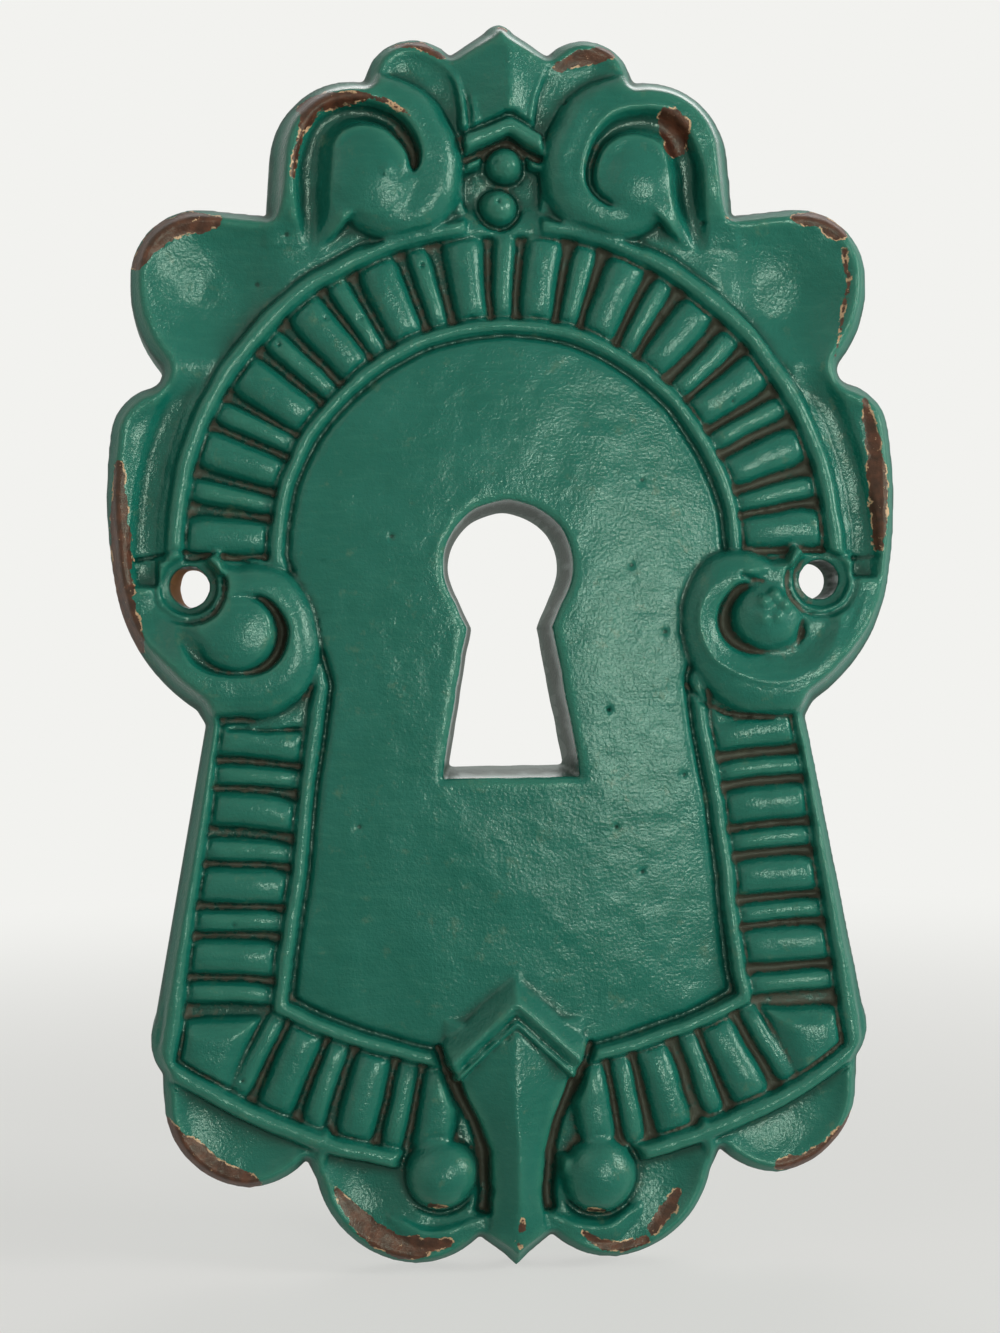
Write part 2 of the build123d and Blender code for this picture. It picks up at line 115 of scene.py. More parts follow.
# The photograph's scale over the plate and its height in pixels, which set the shot
MM_PER_PIXEL = 0.13
PHOTO_HEIGHT = 1333


def linear(hex_colour):
    """A hex sRGB colour as linear red, green, blue and alpha."""
    values = [int(hex_colour[i:i + 2], 16) / 255 for i in (1, 3, 5)]
    return [v / 12.92 if v <= 0.04045 else ((v + 0.055) / 1.055) ** 2.4 for v in values] + [1.0]


def ramp(value, start, end):
    """0 before start, 1 after end, with a soft start and finish between them."""
    share = np.clip((value - start) / (end - start), 0.0, 1.0)
    return share * share * (3 - 2 * share)


def join_up(a, b, soft):
    """The higher of two surfaces, with a fillet about as wide as soft where they meet."""
    near = np.maximum(soft - np.abs(a - b), 0) / soft
    return np.maximum(a, b) + near * near * soft / 4


def join_down(a, b, soft):
    """The lower of two surfaces, with a fillet where they meet."""
    return -join_up(-a, -b, soft)


def swell(depth, width):
    """A quarter round: 0 at an edge, 1 from a width inside it."""
    share = np.clip(depth / width, 0, 1)
    return np.sqrt(1 - (1 - share) ** 2)


def between_points(grid, row, column, up, across):
    """Values between a grid's points, at shares of a cell up and across; past its last point it repeats."""
    rows, columns = grid.shape
    row, next_row = row % rows, (row + 1) % rows
    column, next_column = column % columns, (column + 1) % columns
    low = grid[row, column] * (1 - across) + grid[row, next_column] * across
    high = grid[next_row, column] * (1 - across) + grid[next_row, next_column] * across
    return low * (1 - up) + high * up


def hand(x, z, size, seed):
    """Slow unevenness, from -1 to 1, that changes over a length of size: what a modeller's hand leaves."""
    lattice = np.random.default_rng(seed).uniform(-1, 1, (256, 256))
    u = x / size + 100
    v = z / size + 100
    column = np.floor(u).astype(int)
    row = np.floor(v).astype(int)
    return between_points(lattice, row, column, ramp(v - row, 0, 1), ramp(u - column, 0, 1))


def off_run(start, end, x, z):
    """Distance of points from a straight run, how far along it they lie and their side, plus on its left."""
    run = max(math.dist(start, end), 1e-9)
    dx = (end[0] - start[0]) / run
    dz = (end[1] - start[1]) / run
    off_x = x - start[0]
    off_z = z - start[1]
    along = np.clip(off_x * dx + off_z * dz, 0, run)
    distance = np.hypot(off_x - along * dx, off_z - along * dz)
    return distance, along, np.sign(dx * off_z - dz * off_x)


def nearest(points, x, z):
    """Distance to a path of points, the side (plus on its left) and the share of its length there."""
    runs = [math.dist(a, b) for a, b in zip(points, points[1:])]
    best = np.full(x.shape, 1e6)
    side = np.zeros(x.shape)
    share = np.zeros(x.shape)
    done = 0.0
    for start, end, run in zip(points, points[1:], runs):
        distance, along, on_side = off_run(start, end, x, z)
        nearer = distance < best
        best = np.where(nearer, distance, best)
        side = np.where(nearer, on_side, side)
        share = np.where(nearer, (done + along) / sum(runs), share)
        done += run
    return best, side, share


def inside_of(corners, x, z):
    """Distance inside a convex outline whose corners run anticlockwise, minus outside it."""
    depth = np.full(x.shape, 1e6)
    for (ax, az), (bx, bz) in zip(corners, corners[1:] + corners[:1]):
        run = math.dist((ax, az), (bx, bz))
        depth = np.minimum(depth, ((bx - ax) * (z - az) - (bz - az) * (x - ax)) / run)
    return depth


def arc_points(centre, radius, start, end, count):
    """Points along an arc, its angles in degrees from +x."""
    return [(centre[0] + radius * math.cos(math.radians(start + (end - start) * i / count)),
             centre[1] + radius * math.sin(math.radians(start + (end - start) * i / count)))
            for i in range(count + 1)]


def flowing(points, steps=5):
    """A smooth path through points, for a line given point by point."""
    ends = [tuple(2 * a - b for a, b in zip(points[0], points[1])),
            tuple(2 * a - b for a, b in zip(points[-1], points[-2]))]
    full = [ends[0], *points, ends[1]]
    path = []
    for before, start, end, after in zip(full, full[1:], full[2:], full[3:]):
        for i in range(steps):
            t = i / steps
            path.append(tuple(
                0.5 * (2 * b + (c - a) * t + (2 * a - 5 * b + 4 * c - d) * t ** 2
                       + (3 * b - a - 3 * c + d) * t ** 3)
                for a, b, c, d in zip(before, start, end, after)))
    return path + [tuple(points[-1])]


def foot_corner(line, radius):
    """Where a sloping side meets the border's foot, which is struck from the middle of the screw line."""
    (x, z), (fx, fz) = line
    run = math.dist(line[0], line[1])
    dx, dz = (fx - x) / run, (fz - z) / run
    along = -(x * dx + z * dz)
    near = math.hypot(x + along * dx, z + along * dz)
    reach = along + math.sqrt(radius ** 2 - near ** 2)
    return (x + reach * dx, z + reach * dz)


def border_line(arch_radius, side, foot_radius):
    """Right half of one edge of the border, from the top of its arch round to the middle of its foot."""
    corner = foot_corner(side, foot_radius)
    corner_angle = math.degrees(math.atan2(corner[1], corner[0]))
    return (arc_points((0, ARCH_RISE), arch_radius, 90, 0, 24) + [side[0], corner]
            + arc_points((0, 0), foot_radius, corner_angle, -90, 12)[1:])


def as_object(name, shape):
    """Make an object in the scene of a bmesh, and free the bmesh."""
    mesh = bpy.data.meshes.new(name)
    shape.to_mesh(mesh)
    shape.free()
    obj = bpy.data.objects.new(name, mesh)
    bpy.context.scene.collection.objects.link(obj)
    return obj


class Relief:
    """The carving: a grid of heights over the back, and the masks that the paint follows."""

    def __init__(self, obj):
        self.mesh = obj.data
        places = np.empty(len(self.mesh.vertices) * 3)
        self.mesh.vertices.foreach_get("co", places)
        places = places.reshape(-1, 3) / MM
        self.order = np.lexsort((np.round(places[:, 0], 2), np.round(places[:, 2], 2)))
        self.shape = (obj["rows"], obj["columns"])
        self.places = places
        self.x, self.height, self.z = (places[self.order, i].reshape(self.shape) for i in range(3))
        self.height = -self.height
        self.step = self.x[0, 1] - self.x[0, 0]
        self.row_step = self.z[1, 0] - self.z[0, 0]
        wander = [0.24 * hand(self.x, self.z, 9.0, seed) + 0.1 * hand(self.x, self.z, 3.1, seed + 1)
                  for seed in (11, 13)]
        self.hand_x = self.x + wander[0]
        self.hand_z = self.z + wander[1]

    def save(self):
        """Write the heights back to the grid."""
        self.places[self.order, 1] = -self.height.ravel()
        self.mesh.vertices.foreach_set("co", (self.places * MM).ravel())
        self.mesh.update()

    def mask(self, name):
        """A mask over the grid, zero where nothing has been laid on it yet."""
        if name not in self.mesh.attributes:
            return np.zeros(self.shape)
        values = np.empty(self.shape[0] * self.shape[1], np.float32)
        self.mesh.attributes[name].data.foreach_get("value", values)
        return values[self.order].reshape(self.shape).astype(float)

    def set_mask(self, name, values):
        """Keep a mask on the grid's points."""
        if name not in self.mesh.attributes:
            self.mesh.attributes.new(name, "FLOAT", "POINT")
        flat = np.empty(self.shape[0] * self.shape[1], np.float32)
        flat[self.order] = values.ravel()
        self.mesh.attributes[name].data.foreach_set("value", flat)

    def near(self, points, reach):
        """The part of the grid in the box round some points and a reach beyond it, as a pair of slices."""
        xs, zs = zip(*points)
        columns = np.searchsorted(self.x[0], (min(xs) - reach, max(xs) + reach))
        rows = np.searchsorted(self.z[:, 0], (min(zs) - reach, max(zs) + reach))
        return slice(*rows), slice(*columns)

    def around(self, path, reach, hand_side):
        """The part of the grid near a path on one side of the plate, and x and z there as on the right side."""
        part = self.near([(x * hand_side, z) for x, z in path], reach)
        return part, self.hand_x[part] * hand_side, self.hand_z[part]

    def along(self, path, nodes, hands):
        """For each side of the plate, the part of the grid by a path and, there, the distance from the path,
        the side of it and the values of its evenly spaced nodes, which begin with two widths.
        """
        reach = max(max(node[:2]) for node in nodes) + 0.5
        stations = np.linspace(0, 1, len(nodes))
        for hand_side in hands:
            part, x, z = self.around(path, reach, hand_side)
            off, side, share = nearest(path, x, z)
            yield part, off, side, [np.interp(share, stations, values) for values in zip(*nodes)]

    def soften(self, values, radius):
        """Values blurred over a radius."""
        rows = np.fft.fftfreq(values.shape[0], self.step)[:, None]
        columns = np.fft.rfftfreq(values.shape[1], self.step)[None, :]
        fade = np.exp(-2 * (math.pi * radius) ** 2 * (rows ** 2 + columns ** 2))
        return np.fft.irfft2(np.fft.rfft2(values) * fade, values.shape)

    def lay_band(self, path, nodes, hands=(1, -1), soft=0.25):
        """A ridged band along a path that turns left, on the right side, the left one or both.

        Each node, evenly spaced along the path, is (outer width, inner width, crest, outer foot, inner foot).
        The outer flank is rounded and the inner one hollowed.
        """
        for part, off, side, values in self.along(path, nodes, hands):
            outer, inner, crest, outer_foot, inner_foot = values
            width = np.where(side < 0, outer, inner)
            across = np.clip(off / width, 0, 1)
            rounded = outer_foot + (crest - outer_foot) * np.sqrt(1 - across ** 2.2)
            hollow = inner_foot + (crest - inner_foot) * (1 - across) ** 1.5
            band = np.where(off < width, np.where(side < 0, rounded, hollow), 0)
            self.height[part] = join_up(self.height[part], band, soft)

    def cut_groove(self, path, nodes, top, hands=(1, -1), soft=0.3):
        """A groove along a path that turns left, with a steep outer wall and a gentle inner one.

        Each node, evenly spaced along the path, is (outer half, inner half, floor).
        """
        for part, off, side, (outer, inner, floor) in self.along(path, nodes, hands):
            across = off / np.maximum(np.where(side < 0, outer, inner), 0.05)
            wall = np.where(side < 0, across ** 4, across ** 1.7)
            sides = np.where(across < 1.3, floor + (top - floor) * wall, ABOVE_ALL)
            self.height[part] = join_down(self.height[part], sides, soft)

    def button(self, centre, radius, foot, top, hands=(1, -1), soft=0.25):
        """A round button."""
        for hand_side in hands:
            part, x, z = self.around([centre], radius + 0.5, hand_side)
            off = np.hypot(x - centre[0], z - centre[1])
            crown = np.where(off < radius, foot + (top - foot) * swell(radius - off, radius), 0)
            self.height[part] = join_up(self.height[part], crown, soft)


def carving():
    """The relief as it stands so far; a step saves it again when it has carved its part."""
    if CARVING not in bpy.data.objects:
        raise RuntimeError("the ground of the relief has not been laid yet")
    return Relief(bpy.data.objects[CARVING])


def silhouette(relief):
    """Distance inside the plate's edge, minus outside, read from the CAD casting just over its back."""
    level = -3.0 * MM
    reach = 6.0
    cut = bmesh.new()
    cut.from_mesh(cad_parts["escutcheon"].data)
    bmesh.ops.remove_doubles(cut, verts=cut.verts, dist=1e-6)
    made = bmesh.ops.bisect_plane(cut, geom=cut.verts[:] + cut.edges[:] + cut.faces[:],
                                  plane_co=(0, level, 0), plane_no=(0, 1, 0))
    edges = [e for e in made["geom_cut"] if isinstance(e, bmesh.types.BMEdge)]
    spans = np.array([[(v.co.x / MM, v.co.z / MM) for v in e.verts] for e in edges])
    cut.free()
    # The keyhole and the screw holes are cut later, so their own edges are left out here
    middles = spans.mean(1)
    in_keyhole = (abs(middles[:, 0]) < 12) & (middles[:, 1] > -27) & (middles[:, 1] < 12)
    in_screw_hole = np.hypot(abs(middles[:, 0]) - HOLE_REACH, middles[:, 1]) < 4
    spans = spans[~(in_keyhole | in_screw_hole)]
    distance = np.full(relief.shape, 1e6)
    crossings = np.zeros(relief.shape, int)
    for (ax, az), (bx, bz) in spans:
        part = relief.near(((ax, az), (bx, bz)), reach)
        off, _, _ = off_run((ax, az), (bx, bz), relief.x[part], relief.z[part])
        distance[part] = np.minimum(distance[part], off)
        rows = (relief.z[:, 0] > min(az, bz)) & (relief.z[:, 0] <= max(az, bz))
        if rows.any():
            meets = ax + (relief.z[rows] - az) / (bz - az) * (bx - ax)
            crossings[rows] += relief.x[rows] > meets
    distance = np.minimum(distance, reach)
    return np.where(crossings % 2 == 1, distance, -distance)


def size_setting(name, description, default, **limits):
    """A size that a user can set."""
    return bpy.props.FloatProperty(
        name=name, description=description + ", in millimetres", default=default, **limits)


def colour_setting(name, description, hex_colour):
    """A colour that a user can set."""
    return bpy.props.FloatVectorProperty(
        name=name, description=description, subtype="COLOR", size=4, default=linear(hex_colour))


class EscutcheonSizes(bpy.types.PropertyGroup):
    """Sizes of the casting that a user would change."""

    grid_step: size_setting("Carving step", "Distance between points of the carved grid", 0.2, min=0.1, max=1.0)
    cell: size_setting("Casting cell", "Cell that the carving is cast in", 0.27, min=0.15, max=1.0)
    most_triangles: bpy.props.IntProperty(
        name="Most triangles", description="Triangles of the finished casting", default=195000)
    rim_height: size_setting("Rim", "Height of the rim over the back", 9.2)
    scallop_height: size_setting("Scallops", "Height of the scalloped foot over the back", 8.6)
    field_height: size_setting("Field", "Height of the bowed field over the back", 10.6)
    reed_height: size_setting("Reeds", "Height of the reeds over the back", 9.2)
    gap_floor: size_setting("Gaps", "Height of the gaps between reeds over the back", 6.9)
    scroll_height: size_setting("Scrolls", "Height of the scroll ridges over the back", 11.4)
    eye_height: size_setting("Eyes", "Height of the scroll eyes over the back", 12.4)


class EscutcheonColours(bpy.types.PropertyGroup):
    """Colours of the paint, what lies under it, the grime in it, and the painted shade in its hollows and painted
    highlight on its ridges.
    """

    paint: colour_setting("Paint", "Sea green enamel", "#0c6151")
    # Painted shade: this colour darkens the paint in the hollows and gaps
    hollow_shade: colour_setting("Thick paint", "Paint that has pooled in the hollows", "#073a30")
    # Used both for real brush streaks and for a painted highlight over the ridges
    thin_paint_and_ridge_highlight: colour_setting("Thin paint", "Paint brushed out over the ridges", "#3a7f68")
    undercoat: colour_setting("Undercoat", "Red-brown coat under the paint", "#41241a")
    chip_edge: colour_setting("Chip edge", "Pale filler that shows at the edge of a chip", "#c9a57e")
    grime: colour_setting("Grime", "Brown dirt in the gaps", "#4c3f33")
    raw_resin: colour_setting("Raw resin", "Tan resin that shows in a drilled hole", "#9a6a3f")


class ESCUTCHEON_OT_ground(bpy.types.Operator):
    """Lay the grid and carve the rim with its ledge, the dished wings and the dished scallops"""

    bl_idname = "escutcheon.ground"
    bl_label = "Ground and rim"

    def execute(self, context):
        sizes = context.scene.escutcheon_sizes
        margin = 1.6
        low, high = ([v / MM for v in corner] for corner in CAD_BOX)
        width = high[0] - low[0] + 2 * margin
        tall = high[2] - low[2] + 2 * margin
        columns = int(width / sizes.grid_step)
        rows = int(tall / sizes.grid_step)
        grid = bmesh.new()
        bmesh.ops.create_grid(grid, x_segments=columns, y_segments=rows, size=0.5)
        centre = ((low[0] + high[0]) / 2 * MM, 0, (low[2] + high[2]) / 2 * MM)
        place = (Matrix.Translation(centre) @ Matrix.Rotation(math.pi / 2, 4, "X")
                 @ Matrix.Diagonal((width * MM, tall * MM, MM, 1)))
        bmesh.ops.transform(grid, matrix=place, verts=grid.verts)
        obj = as_object(CARVING, grid)
        obj["columns"] = columns + 1
        obj["rows"] = rows + 1

        relief = Relief(obj)
        inside = silhouette(relief)
        relief.set_mask("inside", inside)

        x, z = relief.hand_x, relief.hand_z
        wide = abs(x)
        rim = np.where(z > -56, sizes.rim_height, sizes.scallop_height)
        ledge = 2.2 - 0.7 * ramp(-z, 60, 66)
        height = rim - 0.9 * (1 - np.exp(-np.maximum(inside - ledge, 0) / 1.2))

        # Dishes in the wings and the scallops: middle, spread each way and depth
        for centre_x, centre_z, spread_x, spread_z, depth in (
            (35.2, 36.2, 9.2, 10.0, 1.7), (34.4, -65.6, 9.4, 8.4, 0.7), (17.6, -74.0, 9.0, 8.6, 0.9),
        ):
            off = np.hypot((wide - centre_x) / spread_x, (z - centre_z) / spread_z)
            height = height - depth * ramp(1 - off, 0, 0.8)
        # A valley runs between the arch and the wing on each side
        from_arch = np.hypot(wide, z - ARCH_RISE)
        valley = ramp(from_arch, 42.8, 44.8) * (1 - ramp(from_arch, 46.4, 48.0))
        height = height - 1.3 * valley * ramp(28 - z, 0, 5) * ramp(z, -4, 2)
        relief.height = height
        relief.save()
        return {"FINISHED"}


class ESCUTCHEON_OT_border(bpy.types.Operator):
    """Carve the bowed field, the two beads and the reeds of the border"""

    bl_idname = "escutcheon.border"
    bl_label = "Field and reeded border"

    def execute(self, context):
        sizes = context.scene.escutcheon_sizes
        relief = carving()
        x, z = relief.hand_x, relief.hand_z
        wide = abs(x)
        inner_off, inner_side, _ = nearest(border_line(ARCH_INNER, SIDE_INNER, FOOT_INNER), wide, z)
        outer_off, outer_side, _ = nearest(border_line(ARCH_OUTER, SIDE_OUTER, FOOT_OUTER), wide, z)
        inside_inner = inner_off * np.where(inner_side < 0, 1, -1)
        inside_outer = outer_off * np.where(outer_side < 0, 1, -1)

        # The field falls from its middle to the beads at its sides, and more slowly up and down
        field_edge = 8.6
        field_middle = -12
        bow_across = (ARCH_INNER ** 2) / (2 * (sizes.field_height - field_edge))
        bow_along = 520
        field = sizes.field_height - x ** 2 / (2 * bow_across) - (z - field_middle) ** 2 / (2 * bow_along)
        field = field - 0.8 * (1 - ramp(inside_inner, 0.9, 2.4))
        reeds = self.reeds(relief, x, z, wide, sizes)
        panel = join_up(np.full(relief.shape, sizes.gap_floor), reeds, 0.35)
        # A rough ledge closes the sides of the border under the scrolls
        ledge = sizes.gap_floor + 1.2 + 0.4 * hand(x, z, 2.4, 41)
        under_scroll = (z > -18.6) & (z < -12) & (wide > 22)
        panel = np.where(under_scroll, np.maximum(panel, ledge), panel)
        height = np.where(inside_outer > 0, panel, relief.height)
        height = np.where(inside_inner > 0, field, height)
        for off, radius in ((inner_off, INNER_BEAD), (outer_off, OUTER_BEAD)):
            bead = np.where(off < radius, BEAD_FOOT + np.sqrt(np.clip(radius ** 2 - off ** 2, 0, None)), 0)
            groove = 7.2 + 3.2 * np.abs(off - radius - 0.35) / 0.6
            height = join_down(height, np.where(off > radius * 0.5, groove, ABOVE_ALL), 0.3)
            height = join_up(height, bead, 0.2)
        relief.height = height
        relief.set_mask("gap", ramp(inside_outer, 0.5, 1.5) * ramp(-inside_inner, 0.5, 1.5))
        relief.save()
        return {"FINISHED"}

    def reed(self, sizes, across, half, along, wide_one):
        """One reed, a pillow with a broad top: rounded across, falling away at both ends."""
        top = sizes.reed_height - (0 if wide_one else 0.45)
        top = top - 1.2 * np.clip(np.abs(along) / 6.3, 0, 1.2) ** 3.6
        share = np.clip(np.abs(across) / half, 0, 1)
        crown = top - 0.95 * half * (1 - (1 - share ** 2.6) ** 0.6)
        return np.where(np.abs(across) < half, crown, 0)

    def reeds(self, relief, x, z, wide, sizes):
        """All the reeds as one surface, zero in the gaps."""
        surface = np.zeros(relief.shape)
        cast = np.random.default_rng(5)

        def fan(angle, radius, first, pitch, count, wide_first, mid, grow, zone):
            for i in range(count):
                lean, shift, plump = cast.uniform(-1, 1, 3)
                off = np.radians(angle - first - i * pitch)
                near = (np.abs(off) < 0.2) & zone
                along = radius[near] - mid
                across = radius[near] * np.sin(off[near]) + 0.2 * shift + 0.03 * lean * along
                wide_one = (i % 2 == 0) == wide_first
                half = (FAN_WIDE if wide_one else FAN_NARROW) * (1 + grow * along / 6.4 + 0.06 * plump)
                made = self.reed(sizes, across, half, along + 0.4 * lean, wide_one) + 0.12 * plump
                surface[near] = np.maximum(surface[near], np.where(made > 1, made, 0))

        angle = np.degrees(np.arctan2(x, z - ARCH_RISE))
        radius = np.hypot(x, z - ARCH_RISE)
        fan(angle, radius, -ARCH_PAIRS * ARCH_PITCH, ARCH_PITCH, 2 * ARCH_PAIRS + 1, True,
            (ARCH_INNER + ARCH_OUTER) / 2, 0.15, z > ARCH_RISE - 8)
        foot_angle = np.degrees(np.arctan2(wide, -z))
        foot_radius = np.hypot(x, z)
        under = (z < -50) & (foot_angle < FOOT_FIRST + FOOT_PITCH * (FOOT_REEDS - 0.4))
        for half_plate in (x < 0, x >= 0):
            fan(foot_angle, foot_radius, FOOT_FIRST, FOOT_PITCH, FOOT_REEDS, True,
                (FOOT_INNER + FOOT_OUTER) / 2, 0.06, under & half_plate)

        tilt = math.tan(math.radians(SIDE_TILT))
        for half_plate in (x < 0, x >= 0):
            for i in range(SIDE_REEDS):
                lean, shift, plump = cast.uniform(-1, 1, 3)
                drop = -SIDE_FIRST_DROP - i * SIDE_PITCH
                ends = [ax + (drop - az) / (bz - az) * (bx - ax)
                        for (ax, az), (bx, bz) in (SIDE_INNER, SIDE_OUTER)]
                along = wide - sum(ends) / 2
                across = z - drop - tilt * (wide - ends[0]) + 0.25 * (along / 6) ** 2 - 0.2 + 0.2 * shift
                half = (SIDE_WIDE if i % 2 == 0 else SIDE_NARROW) * (1 + 0.05 * plump)
                zone = (wide > 20) & (z < -15) & (z > -56) & half_plate
                made = self.reed(sizes, across + 0.03 * lean * along, half, along * 0.95, i % 2 == 0)
                surface = np.where(zone, np.maximum(surface, made), surface)

        corner = [(31.6, -54.2), (36.2, -64.6), (40.4, -62.4), (42.6, -59.6), (42.4, -54.0)]
        depth = inside_of(corner, wide, z)
        pillow = sizes.gap_floor + (sizes.reed_height + 0.4 - sizes.gap_floor) * swell(depth, 3.4)
        return np.where(depth > 0, np.maximum(surface, pillow), surface)


class ESCUTCHEON_OT_scrolls(bpy.types.Operator):
    """Carve the two top scrolls and the two side scrolls with their eyes"""

    bl_idname = "escutcheon.scrolls"
    bl_label = "Scrolls"

    def execute(self, context):
        sizes = context.scene.escutcheon_sizes
        relief = carving()
        self.top_scrolls(relief, sizes)
        self.side_scrolls(relief, sizes)
        relief.save()
        return {"FINISHED"}

    def top_scrolls(self, relief, sizes):
        """Each is one full mass; a trough winds in over its top, a deep crescent on the left plate side."""
        wide, z = abs(relief.hand_x), relief.hand_z
        top = sizes.scroll_height - 0.2
        off_x, off_z = wide - TOP_SCROLL[0], z - TOP_SCROLL[1]
        radius = np.hypot(off_x, off_z)
        angle = np.degrees(np.arctan2(off_z, off_x))
        # The mass is a spiral itself: nearest its centre at the pearls, widest over the outer ridge
        reach = np.interp(angle, (-180, -135, -90, -60, -46, -44, 58, 70, 90, 135, 180),
                          (8.7, 9.1, 9.1, 9.2, 9.4, 30, 30, 13.2, 11.8, 9.6, 8.7))
        ground = 7.0 + 1.2 * ramp(z, 57, 61)
        crown = top - 2.6 * (1 - ramp(z, 42.0, 50.0)) * ramp(wide, 20.0, 23.0)
        mass = ground + (crown - ground) * swell(reach - radius, 3.4)
        zone = (radius < reach) & (wide > 4.2) & (z > 42.4) & (wide < 30)
        outside_bead = np.hypot(wide, z - ARCH_RISE) > ARCH_OUTER + 0.6
        under = (wide < 22) & (z < 50) & outside_bead & (radius < reach + 1.5) & ~zone
        relief.height = np.where(under, np.minimum(relief.height, 8.3), relief.height)
        relief.height = np.where(zone & outside_bead, mass, relief.height)

        left_trough = flowing([(24.0, 43.0), (23.8, 49.0), (23.4, 53.5), (21.8, 57.2), (18.6, 58.7),
                               (15.0, 58.3), (12.4, 56.3), (11.2, 53.8), (11.8, 51.6), (13.4, 50.2)])
        relief.cut_groove(left_trough, (
            (2.2, 2.3, 8.2), (2.3, 2.4, 8.2), (2.4, 2.3, 8.6), (2.2, 2.2, 8.8), (2.1, 2.1, 8.9), (2.0, 1.9, 8.8),
            (1.7, 1.7, 8.4), (1.4, 1.3, 8.0), (0.9, 0.8, 8.4), (0.2, 0.2, 10.0)), 11.5, (-1,), 0.25)
        right_trough = flowing([(24.6, 43.0), (23.4, 48.0), (23.0, 52.5), (21.5, 56.2), (18.4, 57.6),
                                (15.2, 57.2), (12.6, 55.3), (11.3, 52.4), (11.5, 49.6), (13.2, 47.8),
                                (16.0, 47.5)])
        relief.cut_groove(right_trough, (
            (2.2, 2.1, 8.0), (2.3, 2.3, 8.1), (2.3, 2.2, 8.3), (2.2, 2.1, 8.7), (2.1, 2.0, 9.0), (2.0, 1.7, 9.1),
            (1.7, 1.2, 9.2), (1.2, 0.8, 9.2), (1.0, 0.7, 9.4), (0.7, 0.6, 9.8), (0.2, 0.2, 10.8)),
            11.5, (1,), 0.25)
        ridge = [(0.5, 0.5, 10.2, 9.9, 9.9), (0.6, 0.5, top + 0.15, 10.8, 10.6),
                 (0.7, 0.6, top + 0.3, 10.8, 10.6), (0.7, 0.6, top + 0.25, 10.8, 10.6),
                 (0.5, 0.4, top, 10.6, 10.4)]
        left_crest = flowing([(26.5, 46.0), (26.1, 51.0), (25.1, 56.0), (22.8, 59.4), (19.2, 60.6),
                              (15.4, 60.2), (11.7, 58.3), (9.9, 55.2), (10.2, 52.2)])
        relief.lay_band(left_crest, ridge, (-1,))
        right_crest = flowing([(26.3, 46.7), (25.6, 50.0), (24.9, 53.6), (23.5, 57.0), (21.0, 59.3),
                               (17.6, 59.7), (14.0, 58.9), (11.2, 55.6), (10.1, 51.6), (10.9, 48.8),
                               (13.0, 47.0)])
        relief.lay_band(right_crest, ridge, (1,))
        relief.button((16.4, 51.0), 5.2, 10.4, sizes.eye_height - 0.3, (-1,), 1.2)
        relief.button((14.6, 51.4), 1.1, 11.2, sizes.eye_height, (-1,))
        relief.button((17.0, 50.4), 4.4, top - 0.8, sizes.eye_height - 0.2, (1,), 0.6)

    def side_scrolls(self, relief, sizes):
        """The left one is a smooth dome in a crescent; the right one winds on to a rough button."""
        wide, z = abs(relief.hand_x), relief.hand_z
        top = sizes.scroll_height - 0.2
        foot_of_arch = (wide > 29) & (wide < 44) & (z > -3) & (z < 3.3)
        relief.height = np.where(foot_of_arch, np.maximum(relief.height, 9.0), relief.height)
        for hand_side, inner, low in ((-1, 9.7, 11.3), (1, 12.0, 12.0)):
            off_x, off_z = wide - SIDE_SCROLL[0], z - SIDE_SCROLL[1]
            angle = np.degrees(np.arctan2(off_z, off_x))
            reach = np.interp(angle, (-180, -135, -110, -90, -60, -40, -30, 60, 75, 90, 135, 180), (
                inner, low, low + 0.3, low, low + 0.7, 14.5, 30, 30, 8.4, 8.0, inner - 0.2, inner))
            radius = np.hypot(off_x, off_z)
            under_arch = z < 4.2 - 4.0 * ramp(wide, 36.0, 42.0)
            here = (relief.hand_x * hand_side > 19) & (radius < reach) & under_arch
            foot = 7.6 + 0.8 * ramp(-z, 8, 14)
            crown = top - 1.9 * ramp(wide, 38.0, 45.0) * ramp(z, -12.0, -3.0)
            mass = foot + (crown - foot) * swell(reach - radius, 3.6)
            relief.height = np.where(here, mass, relief.height)

        # Left: the band's crest is soft, and a dark crescent parts it from the dome
        ring = flowing([(41.9, -3.4), (40.6, -5.8), (38.9, -8.6), (36.6, -10.0), (33.4, -10.4),
                        (30.5, -9.6), (28.9, -7.0), (28.9, -4.4), (30.4, -2.2), (32.8, -1.5), (35.2, -1.8)])
        relief.cut_groove(ring[::-1], (
            (0.2, 0.3, 10.4), (0.4, 0.5, 9.2), (0.8, 0.7, 8.4), (1.1, 1.0, 7.8), (1.0, 1.1, 8.1), (0.9, 1.3, 8.8),
            (0.9, 1.8, 9.4), (1.1, 2.0, 9.6), (1.2, 2.2, 9.8), (1.2, 2.0, 10.0), (0.8, 1.0, 10.6)),
            11.3, (-1,), 0.2)
        relief.button((34.0, -5.7), 5.0, 9.6, sizes.eye_height - 0.5, (-1,), 0.5)
        off = np.hypot(relief.hand_x + 44.0, z + 4.5)
        relief.height = relief.height - 0.6 * ramp(5.5 - off, 0, 4.0)

